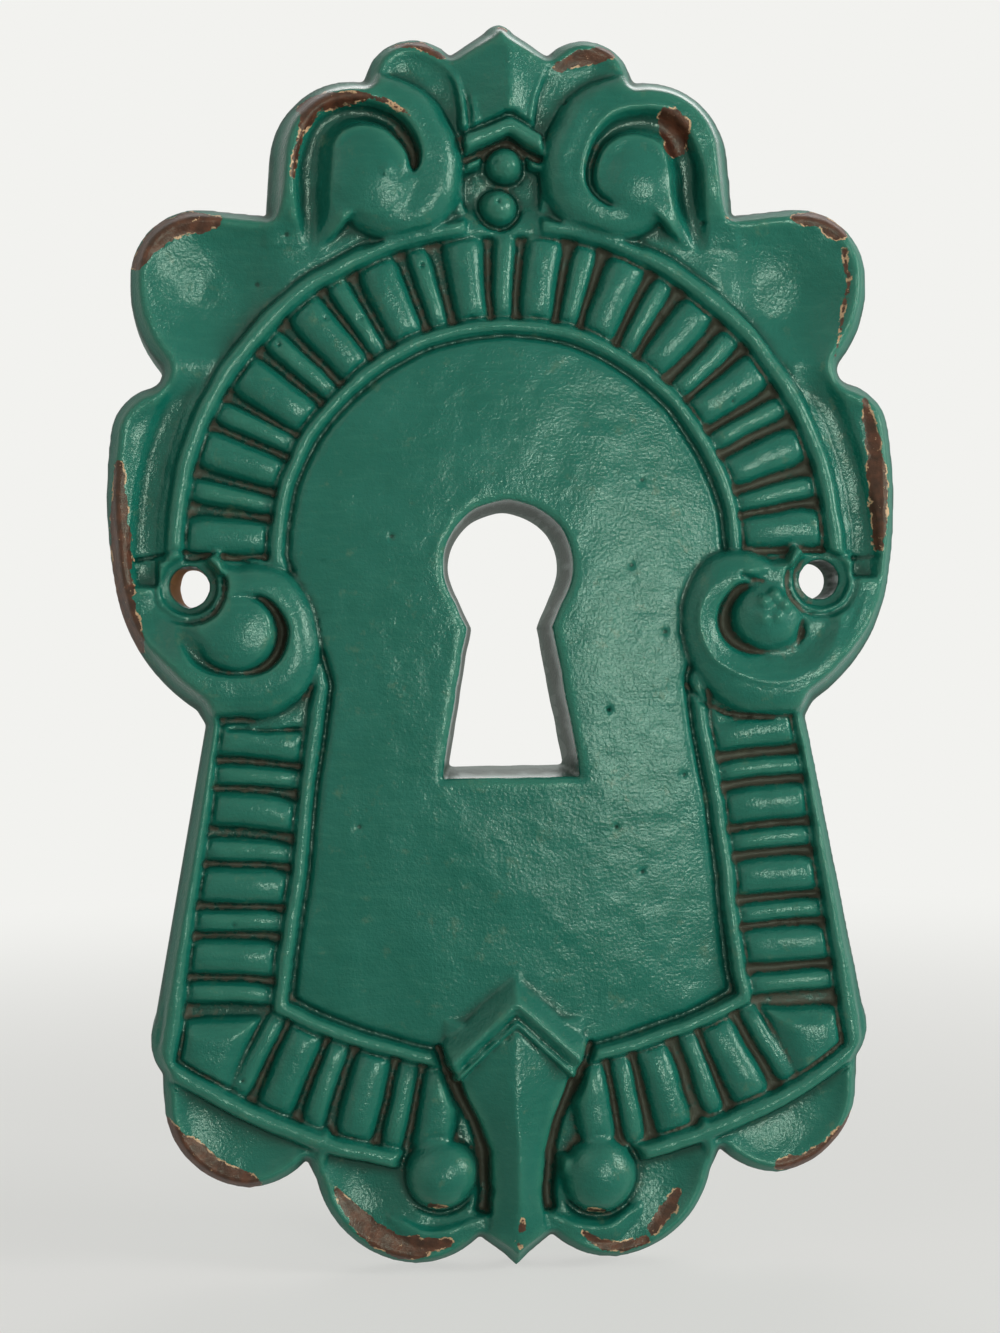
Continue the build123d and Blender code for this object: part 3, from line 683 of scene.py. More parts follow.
        # Right: a crisp crest line, a slope inside it, a moat and the button
        crest_line = flowing([(45.6, -2.0), (44.0, -6.2), (42.2, -8.7), (39.8, -10.9), (37.3, -12.2),
                              (34.5, -12.8), (31.8, -12.7), (29.0, -11.9), (26.4, -10.4), (24.7, -7.9),
                              (24.1, -5.0), (25.0, -2.0), (26.9, -0.4), (29.2, 0.2)])[::-1]
        part, x, z_part = relief.around(crest_line, 5.0, 1)
        off, side, share = nearest(crest_line, x, z_part)
        dug = np.interp(share, (0, 0.3, 0.6, 0.85, 1), (0.8, 1.3, 1.5, 1.9, 0.9))
        lowered = np.where(side > 0, 11.3 - dug * ramp(off, 0, 3.4), ABOVE_ALL)
        relief.height[part] = join_down(relief.height[part], lowered, 0.2)
        relief.lay_band(crest_line, [
            (0.4, 0.6, 11.3, 10.8, 10.8), (0.5, 0.6, 11.5, 10.8, 10.8), (0.6, 0.6, 11.6, 10.8, 10.8),
            (0.6, 0.6, 11.6, 10.8, 10.8), (0.6, 0.6, 11.3, 10.6, 10.6), (0.6, 0.6, 10.5, 9.6, 9.6),
            (0.5, 0.6, 9.5, 9.0, 9.0)], (1,), 0.15)
        moat = flowing([(31.6, -0.6), (29.2, -1.4), (27.9, -3.4), (27.6, -5.4), (28.5, -7.6), (30.6, -8.8),
                        (33.2, -8.7), (35.6, -7.6)])
        relief.cut_groove(moat, (
            (0.3, 0.4, 10.4), (0.8, 1.0, 9.0), (1.1, 1.4, 8.2), (1.2, 1.6, 8.0), (1.0, 1.5, 8.4), (0.7, 1.3, 8.9),
            (0.4, 1.0, 9.4), (0.2, 0.4, 10.2)), 10.6, (1,), 0.25)
        relief.button((32.9, -4.6), 4.5, 9.0, sizes.eye_height - 0.6, (1,), 0.3)
        for dx, dz in ((-1.1, 1.1), (0.5, -0.7), (1.5, 0.8), (0.3, 1.9), (-1.2, -0.9)):
            relief.button((33.3 + dx, -4.0 + dz), 0.9, 11.3, sizes.eye_height - 0.1, (1,), 0.2)
        relief.cut_groove([(37.6, -5.2), (37.4, -6.8), (36.7, -8.2)],
                          ((0.5, 0.3, 8.8), (0.8, 0.6, 8.2), (0.4, 0.3, 9.2)), 10.6, (1,), 0.2)


class ESCUTCHEON_OT_crest(bpy.types.Operator):
    """Carve the fluted crest, its leaves, the collar and the two pearls"""

    bl_idname = "escutcheon.crest"
    bl_label = "Crest and pearls"

    def execute(self, context):
        relief = carving()
        x, z = relief.hand_x, relief.hand_z
        wide = abs(x)

        # The middle leaf falls both ways from a ridge a little right of the middle; below it is a rough neck
        half = np.interp(z, (57, 60, 63, 66, 68), (4.4, 4.7, 5.6, 7.4, 9.0))
        to_ridge = np.where(x > 1.1, (x - 1.1) / (half - 1.1), (1.1 - x) / (half + 1.1))
        leaf = 10.9 - 1.9 * np.clip(to_ridge, 0, 1) ** 0.9
        zone = (wide < half) & (z > 55.5)
        relief.height = np.where(zone, leaf, relief.height)
        ground = 7.1 + 0.15 * hand(x, z, 0.8, 51)
        neck = (wide < 4.9) & (z > 43.8) & (z <= 56.5)
        relief.height = np.where(neck, ground + 1.1 * (1 - ramp(z, 45.0, 48.5)), relief.height)

        flute = [(0.8, 0.8, 8.2), (0.8, 0.8, 8.4), (0.5, 0.5, 9.0)]
        for hand_side, line in (
            (1, [(4.3, 57.6), (4.5, 60.2), (5.3, 63.2), (6.9, 66.2)]),
            (-1, [(3.8, 57.6), (4.0, 60.0), (4.9, 63.0)]),
        ):
            relief.cut_groove(flowing(line), flute, 10.0, (hand_side,), 0.2)
        ridge = [(0.6, 0.6, 10.0, 9.2, 9.0), (0.6, 0.5, 9.9, 9.0, 8.8), (0.4, 0.4, 9.2, 8.6, 8.6)]
        for hand_side, line in (
            (1, [(3.5, 57.8), (3.9, 60.8), (4.8, 63.2), (6.0, 65.8)]),
            (-1, [(3.2, 57.8), (3.4, 60.8), (4.2, 63.0)]),
            (-1, [(4.5, 57.6), (4.8, 61.2), (5.7, 63.8), (7.4, 65.8)]),
        ):
            relief.lay_band(flowing(line), ridge, (hand_side,), 0.15)

        # The collar is a bent bar over a thinner one, with a hollow between them and a line above
        height = relief.height
        collar, collar_side, _ = nearest([(-5.0, 55.1), (1.0, 57.8), (5.4, 55.2)], x, z)
        lower, _, _ = nearest([(-4.7, 52.6), (0.6, 55.4), (4.8, 52.8)], x, z)
        cut_ends = np.abs(x - 0.3) < 5.0
        lower_bar = np.where((lower < 0.6) & cut_ends, 8.6 + 0.5 * swell(0.6 - lower, 0.6), 0)
        height = join_up(height, lower_bar, 0.15)
        between = (collar < 2.0) & (collar >= 1.0) & (collar_side < 0) & cut_ends
        height = np.where(between, np.minimum(height, 7.4), height)
        bar = 9.4 + 1.3 * swell(1.1 - collar, 0.9)
        height = np.where((collar < 1.1) & cut_ends, bar, height)
        above = (collar < 1.7) & (collar >= 1.1) & (collar_side > 0) & (wide < 5.0)
        height = np.where(above, np.minimum(height, 8.8), height)
        pearl_radius = 2.5
        for px, pz in ((0.4, 53.1), (-0.6, 47.5)):
            off = np.hypot(x - px, z - pz)
            moat = np.where((off < 3.0) & (wide < 4.6), 6.6 + 0.9 * np.abs(off - 2.6), ABOVE_ALL)
            pearl = 6.8 + 3.3 * swell(pearl_radius - off, pearl_radius)
            on_pearl = np.maximum(pearl, np.minimum(height, 7.0))
            height = np.where(off < pearl_radius, on_pearl, np.minimum(height, moat))
        relief.height = height
        relief.save()
        return {"FINISHED"}


class ESCUTCHEON_OT_pendant(bpy.types.Operator):
    """Carve the gable, the ridged spear, the knobs with their curls and the ribs between scallops"""

    bl_idname = "escutcheon.pendant"
    bl_label = "Pendant and scallops"

    def execute(self, context):
        relief = carving()
        x, z = relief.hand_x, relief.hand_z
        wide = abs(x)
        height = relief.height

        # The spear from its tip up: half width and height of its ridge, with a groove on each side
        places = [-88.0, -86.4, -83.2, -81.3, -77.0, -71.9, -68.3, -63.6, -56.4]
        halves = [0.3, 0.6, 4.0, 3.6, 3.2, 3.5, 4.6, 6.5, 8.6]
        tops = [8.4, 8.8, 10.0, 10.6, 11.2, 11.5, 11.6, 11.5, 10.9]
        half = np.interp(z, places, halves)
        top = np.interp(z, places, tops)
        spear = top - (top - 9.0) * np.clip(wide / half, 0, 1) ** 1.15
        beside = wide - half
        groove = 6.0 + 2.2 * np.clip(np.abs(beside - 0.8) - 0.35, 0, 9)
        low_zone = (z < -58.5) & (z > -79.5) & (beside > 0) & (beside < 2.4)
        height = np.where(low_zone, np.minimum(height, groove), height)
        height = np.where((z < -55) & (z > -83.0) & (beside < 0), spear, height)
        height = np.where((z <= -83.0) & (beside < 0.6), np.minimum(spear, top), height)

        # The gable is a chevron whose section runs down from its upper edge: a wide bar, a cut, a narrow bar
        below = -z - 50.0 - 0.9 * wide
        gable = np.interp(below, (-0.5, 0.0, 2.9, 3.4, 4.2, 4.6, 5.0, 5.8, 6.3),
                          (9.2, 9.7, 12.0, 11.2, 11.0, 9.7, 11.1, 11.2, 9.0))
        end = 9.1 - 0.3 * below - wide
        zone = (below > -0.5) & (below < 6.3) & (end > -0.5)
        gable = gable - 4.0 * (1 - ramp(end, -0.5, 0.3))
        height = np.where(zone, gable, height)
        relief.height = height

        # Knobs beside the spear, the lips under them and the ribs between the scallops
        for hand_side, centre, radius in ((-1, (9.4, -74.5), 4.5), (1, (10.6, -75.2), 4.9)):
            mine = relief.hand_x * hand_side
            off = np.hypot(mine - centre[0], z - centre[1])
            bearing = np.degrees(np.arctan2(z - centre[1], mine - centre[0]))
            # The moat is deep on the knob's outer and lower side and dies out towards the spear
            deep = ramp(bearing, -170, -130) * (1 - ramp(bearing, 30, 70))
            moat = 8.6 - 1.9 * deep + 2.2 * np.abs(off - radius - 0.45)
            zone = (off < radius + 2.2) & (z < -69.4) & (mine > 2.0)
            relief.height = np.where(zone, np.minimum(relief.height, moat), relief.height)
            relief.button(centre, radius, 7.4, 11.2, (hand_side,), 0.25)
        lip = flowing([(5.4, -80.2), (8.2, -81.2), (11.6, -81.4), (14.8, -79.8)])
        relief.lay_band(lip, [(2.4, 0.5, 8.6, 7.6, 7.2), (2.4, 0.6, 8.9, 7.8, 7.2), (2.2, 0.6, 8.8, 7.8, 7.2),
                              (1.4, 0.5, 8.1, 7.6, 7.4)])
        rib = [(24.4, -69.5), (25.2, -73.0), (25.6, -75.6)]
        relief.lay_band(rib, [(1.3, 1.3, 9.4, 7.6, 7.6), (1.1, 1.1, 8.4, 7.0, 7.0)])
        scallop_rim = flowing([(27.0, -72.4), (30.0, -74.2), (33.8, -74.4)])
        relief.lay_band(scallop_rim, [(0.6, 0.6, 8.9, 8.2, 8.0), (0.6, 0.6, 8.7, 8.2, 8.0)])
        relief.save()
        return {"FINISHED"}


class ESCUTCHEON_OT_openings(bpy.types.Operator):
    """Cut the keyhole and the two screw holes in their sunk rings"""

    bl_idname = "escutcheon.openings"
    bl_label = "Keyhole and screw holes"

    def execute(self, context):
        relief = carving()
        x = relief.x + 0.1 * hand(relief.x, relief.z, 2.2, 61)
        z = relief.z + 0.1 * hand(relief.x, relief.z, 2.2, 62)
        wide = abs(x)
        height = relief.height

        # How far inside the keyhole each point is: its walls are steep and its lip is rounded over
        round_in = KEYHOLE_RADIUS - np.hypot(x, z - KEYHOLE_RISE)
        half = np.interp(-z, [-2, 1.4, 5.6, KEYHOLE_FOOT], [7.4, 7.2, 5.4, 8.8])
        slot_in = np.where(z < 2, np.minimum(half - wide, z + KEYHOLE_FOOT) * 0.97, -9)
        opening = np.maximum(round_in, slot_in)
        slope = np.where(opening > 1.25, -3.0, 10.0 - opening * 9.0)
        lip = join_down(height, height - 0.45 * ramp(opening, -0.8, 0.1), 0.1)
        height = np.where(opening > 0, np.minimum(slope, lip), lip)

        # Each screw hole lies in a sunk ring with a scored line round its lower part
        off = np.hypot(wide - HOLE_REACH, z)
        ring = np.where(off < HOLE_SINK, 8.0 + 1.6 * ramp(off, 3.3, HOLE_SINK), ABOVE_ALL)
        height = join_down(height, ring, 0.2)
        scored = np.where((np.abs(off - 4.5) < 0.35) & (z < 1.5), 8.6, ABOVE_ALL)
        height = np.minimum(height, scored)
        hole = HOLE_RADIUS - off
        # The left hole was drilled a little askew, so its left wall slants and shows
        steep = np.where(x < -HOLE_REACH, 60 - 52 * ramp(-x - HOLE_REACH, 0.2, 1.6), 60)
        height = np.where(hole > 0, np.minimum(height, 8.1 - hole * steep), height)
        relief.set_mask("opening", np.maximum(opening, hole))
        relief.set_mask("wall", np.maximum(ramp(opening, 0.0, 0.35), ramp(hole, -0.1, 0.1) * 2))
        relief.set_mask("flank", ramp(1.9 - relief.mask("inside"), 0, 1.1))
        relief.height = height
        relief.save()
        return {"FINISHED"}


class ESCUTCHEON_OT_wear(bpy.types.Operator):
    """Bevel the edge, soften the carving as a casting under paint, then crack, pit and chip it"""

    bl_idname = "escutcheon.wear"
    bl_label = "Wear and chips"

    # Each chip is a line of points and the half width at each
    chips = (
        (((-24.6, 59.9), (-23.2, 60.3), (-20.5, 60.6), (-17.0, 60.8)), (1.0, 1.3, 0.75, 0.4)),
        (((-17.0, 60.8), (-14.4, 60.2), (-11.5, 58.4)), (0.35, 0.25, 0.12)),
        (((-24.2, 58.6), (-25.2, 56.0), (-26.0, 53.2), (-26.3, 50.8)), (0.9, 0.3, 0.4, 0.2)),
        (((-13.3, 67.9), (-10.1, 67.9), (-7.4, 66.4)), (0.4, 0.7, 0.5)),
        (((-45.8, 40.6), (-43.9, 43.4), (-41.4, 45.1), (-39.1, 45.7), (-36.0, 45.6)),
         (0.9, 1.5, 1.7, 1.6, 0.8)),
        (((-48.5, 15.4), (-48.6, 8.0), (-48.4, 2.0), (-47.8, -3.0), (-46.4, -7.6)), (0.6, 1.1, 1.4, 1.3, 1.0)),
        (((7.2, 65.0), (10.2, 66.4), (13.8, 66.9)), (0.6, 1.2, 0.8)),
        (((20.9, 58.5), (21.8, 56.9), (22.0, 55.2)), (1.2, 1.9, 1.5)),
        (((37.4, 46.0), (40.6, 46.0), (43.2, 44.2)), (0.5, 1.3, 1.2)),
        (((43.6, 42.0), (44.2, 38.0), (43.2, 33.0), (42.2, 28.0)), (0.3, 0.2, 0.25, 0.1)),
        (((46.0, 22.6), (47.1, 18.0), (47.8, 12.0), (47.7, 4.0)), (0.5, 1.0, 1.1, 0.6)),
        (((-43.7, -67.2), (-41.4, -70.4), (-38.6, -72.9), (-35.9, -74.3), (-33.6, -75.0)),
         (0.6, 1.3, 1.7, 1.6, 1.2)),
        (((-22.8, -76.2), (-20.2, -79.8), (-17.5, -82.2), (-14.3, -83.8), (-8.9, -83.0)),
         (0.4, 1.2, 1.4, 1.3, 0.7)),
        (((43.4, -69.0), (40.4, -72.8), (36.0, -74.6), (33.8, -74.6)), (0.6, 1.2, 1.2, 0.8)),
        (((8.4, -82.4), (10.6, -83.8), (13.2, -84.4), (16.4, -83.6)), (0.35, 0.6, 0.8, 0.5)),
        (((17.4, -82.2), (19.4, -79.8), (20.6, -77.8)), (0.7, 0.9, 0.5)),
        (((-10.8, -78.0), (-8.8, -78.4)), (0.45, 0.3)),
        (((9.4, -79.4), (11.0, -79.6)), (0.4, 0.3)),
        (((0.2, 70.0), (0.6, 69.9)), (0.5, 0.5)),
        (((0.6, -79.8), (0.5, -81.2)), (0.2, 0.4)),
        (((-0.2, -83.0), (0.4, -83.6)), (0.3, 0.3)),
        (((27.9, 45.8), (29.3, 45.8)), (0.12, 0.12)),
    )
    cracks = (
        ((39.9, 3.9), (42.1, 2.9), (44.5, 2.7), (47.2, 2.9)),
        ((-46.8, 3.6), (-44.2, 4.1), (-41.9, 4.6), (-39.1, 4.1), (-36.0, 3.6), (-32.6, 3.0)),
        ((22.6, -13.4), (24.4, -15.4), (28.2, -17.0), (33.7, -17.6)),
        ((-35.1, -18.2), (-31.6, -18.2), (-26.3, -17.9)),
        ((29.5, 0.4), (31.0, -0.1), (32.2, -0.4)),
    )
    pits = (
        (-22.5, 33.5), (-18.0, 33.5), (-10.2, 40.2), (-28.4, 30.3), (20.0, 34.0), (29.0, 22.8), (28.8, 27.9),
        (-0.9, 53.0), (-0.5, 48.0), (-35.0, -42.4), (36.4, -44.0), (25.6, 45.4), (16.5, -36.8), (13.2, -31.0),
        (8.1, 60.6), (-34.2, -62.0), (-27.2, 44.0), (-31.0, 38.0), (15.6, 2.0), (19.8, -6.4), (12.4, -16.2),
        (22.0, -24.6), (17.2, 12.8), (-14.6, 6.0), (-19.2, -30.4),
    )

    def execute(self, context):
        relief = carving()
        x, z = relief.x, relief.z
        inside = relief.mask("inside")
        solid = relief.mask("opening") < -0.3
        # The edge is bevelled steeply, so that the rim rolls over into the flank
        edge = 5.9 + 2.3 * np.maximum(inside, 0) + 0.15 * hand(x, z, 2.0, 71)
        height = join_down(relief.height, edge, 0.7)
        height = np.where(solid, relief.soften(height, 0.17), height)
        grain = 0.1 * hand(x, z, 5.5, 21) + 0.06 * hand(x, z, 1.7, 22) + 0.035 * hand(x, z, 0.7, 23)
        height = height + np.where(solid, grain, 0)

        ragged = 0.3 * hand(x, z, 1.6, 31) + 0.22 * hand(x, z, 0.7, 32)
        for line in self.cracks:
            path = [(abs(a), b) for a, b in line]
            part, px, pz = relief.around(path, 1.5, math.copysign(1, line[0][0]))
            off, _, _ = nearest(path, px, pz)
            height[part] = height[part] - 0.8 * (1 - ramp(off + 0.3 * ragged[part], 0.1, 0.4))

        chipped = np.full(relief.shape, -5.0)
        for points, halves in self.chips:
            part = relief.near(points, max(halves) + 5)
            off, _, share = nearest(points, x[part], z[part])
            half = np.interp(share, np.linspace(0, 1, len(halves)), halves)
            chipped[part] = np.maximum(chipped[part], half + ragged[part] * np.minimum(half, 1.0) - off)
        height = height - 0.16 * ramp(chipped, -0.1, 0.12)
        for px, pz in self.pits:
            part = relief.near([(px, pz)], 1)
            off = np.hypot(x[part] - px, z[part] - pz)
            height[part] = height[part] - 1.0 * (1 - ramp(off, 0.12, 0.4))

        closed = np.where(relief.mask("opening") > 0, relief.soften(np.maximum(height, 5), 3.0), height)
        # How far each point lies below its surroundings: the paint uses it for painted shade in the hollows and a
        # painted highlight on the ridges
        relief.set_mask("cavity", relief.soften(closed, 1.1) - closed)
        relief.set_mask("chip", chipped)
        relief.height = np.where(inside < 0, np.clip(EDGE_HEIGHT + inside * 22, -2.5, EDGE_HEIGHT), height)
        relief.save()
        return {"FINISHED"}


class ESCUTCHEON_OT_cast(bpy.types.Operator):
    """Cast the carving as one closed piece with a flat back, and paint it"""

    bl_idname = "escutcheon.cast"
    bl_label = "Cast and paint"

    def execute(self, context):
        sizes = context.scene.escutcheon_sizes
        source = bpy.data.objects[CARVING]
        relief = Relief(source)
        body = self.block(source)
        self.use(body, "REMESH", mode="VOXEL", voxel_size=sizes.cell * MM)
        self.use(body, "SMOOTH", factor=0.5, iterations=2)
        self.trim(body)
        self.use(body, "TRIANGULATE")
        triangles = len(body.data.polygons)
        if triangles > sizes.most_triangles:
            self.use(body, "DECIMATE", ratio=sizes.most_triangles / triangles)
        print("casting triangles", triangles, "kept", len(body.data.polygons))
        self.keep_masks(body, relief)
        bpy.data.objects.remove(source)
        flat_back = 0.99
        for face in body.data.polygons:
            face.use_smooth = face.normal.y < flat_back
        body.data.materials.append(painted_casting(context.scene.escutcheon_colours))
        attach(body, "root")
        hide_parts("escutcheon")
        return {"FINISHED"}

    def block(self, source):
        """The carved grid closed into a block that reaches behind the back."""
        reach_behind = 5.5 * MM
        block = bmesh.new()
        block.from_mesh(source.data)
        rim = [e for e in block.edges if e.is_boundary]
        made = bmesh.ops.extrude_edge_only(block, edges=rim)
        low = [v for v in made["geom"] if isinstance(v, bmesh.types.BMVert)]
        for vert in low:
            vert.co.y = reach_behind
        bottom = [e for e in made["geom"] if isinstance(e, bmesh.types.BMEdge) and e.is_boundary]
        bmesh.ops.contextual_create(block, geom=bottom)
        bmesh.ops.recalc_face_normals(block, faces=block.faces)
        return as_object(CASTING, block)

    def use(self, body, kind, **settings):
        """Put a modifier on the piece and apply it."""
        modifier = body.modifiers.new(kind.lower(), kind)
        for name, value in settings.items():
            setattr(modifier, name, value)
        shaped = body.evaluated_get(bpy.context.evaluated_depsgraph_get())
        mesh = bpy.data.meshes.new_from_object(shaped)
        body.modifiers.clear()
        old = body.data
        body.data = mesh
        bpy.data.meshes.remove(old)
        mesh.name = CASTING

    def trim(self, body):
        """Cut everything behind the back away and close the back flat."""
        cut = bmesh.new()
        cut.from_mesh(body.data)
        made = bmesh.ops.bisect_plane(cut, geom=cut.verts[:] + cut.edges[:] + cut.faces[:],
                                      plane_co=(0, 0, 0), plane_no=(0, 1, 0), clear_outer=True, dist=1e-7)
        edges = [e for e in made["geom_cut"] if isinstance(e, bmesh.types.BMEdge)]
        bmesh.ops.triangle_fill(cut, use_beauty=True, edges=edges, normal=(0, 1, 0))
        bmesh.ops.recalc_face_normals(cut, faces=cut.faces)
        cut.to_mesh(body.data)
        cut.free()

    def keep_masks(self, body, relief):
        """Give the piece's points what the carving's masks say at their place."""
        mesh = body.data
        places = np.empty(len(mesh.vertices) * 3)
        mesh.vertices.foreach_get("co", places)
        places = places.reshape(-1, 3) / MM
        across = np.clip((places[:, 0] - relief.x[0, 0]) / relief.step, 0, relief.shape[1] - 1.001)
        up = np.clip((places[:, 2] - relief.z[0, 0]) / relief.row_step, 0, relief.shape[0] - 1.001)
        column = across.astype(int)
        row = up.astype(int)
        front = ramp(-places[:, 1], 0.5, 3.0)
        for name, behind in (("cavity", 0.0), ("chip", -5.0), ("gap", 0.0), ("wall", None), ("flank", None)):
            value = between_points(relief.mask(name), row, column, up - row, across - column)
            if behind is not None:
                value = value * front + behind * (1 - front)
            if name in mesh.attributes:
                mesh.attributes.remove(mesh.attributes[name])
            layer = mesh.attributes.new(name, "FLOAT", "POINT")
            layer.data.foreach_set("value", value.astype(np.float32))


def node(tree, kind, inputs=(), out=0, **settings):
    """Add a node with its settings, give its sockets values or links, and hand back one of its outputs."""
    made = tree.nodes.new("ShaderNode" + kind)
    for name, value in settings.items():
        setattr(made, name, value)
    for name, value in inputs.items() if isinstance(inputs, dict) else enumerate(inputs):
        if isinstance(value, bpy.types.NodeSocket):
            tree.links.new(value, made.inputs[name])
        else:
            made.inputs[name].default_value = value
    return made.outputs[out] if made.outputs else made


def painted_casting(colours):
    """Cast polyurethane resin under brushed semi-gloss enamel.

    The eye sees a thick skin of sea-green paint with orange peel, painted shade that darkens it in the hollows
    and painted highlight that lightens it over the ridges, brown dirt at the bottom of the gaps, laid heavier on
    the lit right side as painted light, and edges knocked back to a red-brown undercoat with pale rims.
    """
    material = bpy.data.materials.new("brushed_enamel_on_resin")
    material.use_nodes = True
    tree = material.node_tree
    tree.nodes.clear()
    add = functools.partial(node, tree)
    smooth = {"interpolation_type": "SMOOTHSTEP"}
    at = add("Mapping", {"Vector": add("TexCoord", out="Object"), "Scale": (1000, 1000, 1000)})
    brushed = add("Mapping", {"Vector": at, "Rotation": (0, math.radians(38), 0), "Scale": (0.22, 1, 1.5)})
    to_right = add("SeparateXYZ", [at], "X")
    backward = add("SeparateXYZ", [add("TexCoord", out="Normal")], "Y")
    cavity, chip, gap, wall, flank = (
        add("Attribute", out="Fac", attribute_name=name) for name in ("cavity", "chip", "gap", "wall", "flank"))
    # Each pattern's space, waves per millimetre, detail and roughness
    patches, streaks, dirt_edge, dust, chip_line, rim_breaks, specks, browns, peel, grain, bristle = (
        add("TexNoise", {"Vector": space, "Scale": scale, "Detail": detail, "Roughness": rough}, "Fac")
        for space, scale, detail, rough in (
            (at, 0.12, 3.0, 0.6), (brushed, 0.9, 3.0, 0.6), (at, 1.1, 3.0, 0.5), (at, 0.35, 4.0, 0.65),
            (at, 1.6, 4.0, 0.65), (at, 0.6, 3.0, 0.5), (at, 1.3, 4.0, 0.7), (at, 0.7, 3.0, 0.5),
            (at, 2.3, 2.0, 0.6), (at, 5.5, 2.0, 0.6), (brushed, 2.0, 2.0, 0.6)))

    # The flat back has neither the painted shade and grime of the keyhole's walls nor the edge's dull film
    not_back = add("MapRange", [backward, 0.85, 0.95, 1.0, 0.0], **smooth)
    wall = add("Math", [wall, not_back], operation="MULTIPLY")
    flank = add("Math", [flank, not_back], operation="MULTIPLY")
    # Only the left screw hole, and no wall of the keyhole, lies this far to the left
    left = add("MapRange", [to_right, -34.0, -36.0], **smooth)
    raw_wall = add("Math", [add("MapRange", [wall, 1.2, 1.8], **smooth), left], operation="MULTIPLY")

    # Brown dirt lies in the gaps between reeds and in the sharpest corners. More of it is laid on the right of
    # the plate, where the light falls, than on the left: partly painted light, as the paler brown then shows in
    # the lit gaps while the darker painted shade stays in the shaded ones
    gap_dirt_lit_side = add("MapRange", [to_right, -15.0, 20.0, 0.3, 0.6], **smooth)
    dirt_and_lit_side = add("Math", [dirt_edge, 1.2, -0.6], operation="MULTIPLY_ADD")
    dirt_and_lit_side = add("Math", [cavity, 0.85, dirt_and_lit_side], operation="MULTIPLY_ADD")
    dirt_and_lit_side = add("Math", [gap, gap_dirt_lit_side, dirt_and_lit_side], operation="MULTIPLY_ADD")

    # A chip's edge wanders by a few tenths of a millimetre, and the pale filler shows in broken runs
    ragged = add("Math", [chip, -0.45], operation="ADD")
    ragged = add("Math", [chip_line, 0.9, ragged], operation="MULTIPLY_ADD")
    dirty, bare, rim, rim_end, rim_runs, speckled, browner = (
        add("MapRange", span, **smooth) for span in (
            [dirt_and_lit_side, 0.85, 1.25], [ragged, -0.03, 0.03], [ragged, -0.12, -0.04], [ragged, 0.08, 0.18, 1.0, 0.0],
            [rim_breaks, 0.5, 0.58], [specks, 0.66, 0.7], [browns, 0.35, 0.7]))
    for part in (rim_end, rim_runs):
        rim = add("Math", [rim, part], operation="MULTIPLY")
    flecks = add("Math", [bare, speckled], operation="MULTIPLY")
    pale = add("Math", [rim, flecks], operation="MAXIMUM")
    brown = add("Mix", {0: browner, 6: colours.undercoat[:], 7: linear("#5f3828")}, 2, data_type="RGBA")

    # Coats from the paint outwards: the pattern, where it starts and is full, its strength and its colour
    colour = colours.paint[:]
    for pattern, start, full, strength, tint in (
        (patches, 0.35, 0.7, 1.0, linear("#176757")),
        (streaks, 0.45, 0.75, 0.18, colours.thin_paint_and_ridge_highlight[:]),
        # Painted highlight: the paint is lightened over the ridges and crests
        (cavity, -0.15, -0.7, 0.4, colours.thin_paint_and_ridge_highlight[:]),
        # Painted shade: the paint is darkened where the surface lies below its surroundings
        (cavity, 0.08, 0.7, 0.9, colours.hollow_shade[:]),
        # Brown dirt, laid heavier on the lit right side as painted light
        (dirt_and_lit_side, 0.85, 1.25, 0.7, colours.grime[:]),
        (dust, 0.58, 0.78, 0.3, linear("#6f7d5c")),
        # Painted shade with some grime: the walls of the keyhole and the screw holes are darkened
        (wall, 0.3, 1.0, 0.75, linear("#2c332a")),
    ):
        amount = add("MapRange", [pattern, start, full, 0.0, strength], **smooth)
        colour = add("Mix", {0: amount, 6: colour, 7: tint}, 2, data_type="RGBA")
    for amount, tint in ((raw_wall, colours.raw_resin[:]), (bare, brown), (pale, colours.chip_edge[:])):
        colour = add("Mix", {0: amount, 6: colour, 7: tint}, 2, data_type="RGBA")

    # Orange peel some 0.65 mm across, with finer grain and brush ridges over it
    surface = add("Math", [grain, 0.25, peel], operation="MULTIPLY_ADD")
    surface = add("Math", [bristle, 0.25, surface], operation="MULTIPLY_ADD")
    bump = add("Bump", {"Height": surface, "Strength": 0.8, "Distance": 0.09 * MM})
    dull = add("Math", [bare, 0.5], operation="MULTIPLY")
    for part in (dirty, wall, flank):
        dull = add("Math", [dull, part], operation="MAXIMUM")
    gloss = add("Math", [dull, 0.36, 0.2], operation="MULTIPLY_ADD")
    shader = add("BsdfPrincipled", {
        "Base Color": colour, "Roughness": gloss, "Normal": bump, "IOR": 1.5, "Specular IOR Level": 0.4,
        "Specular Tint": linear("#dcf7e0")})
    add("OutputMaterial", {"Surface": shader}, is_active_output=True)
    return material


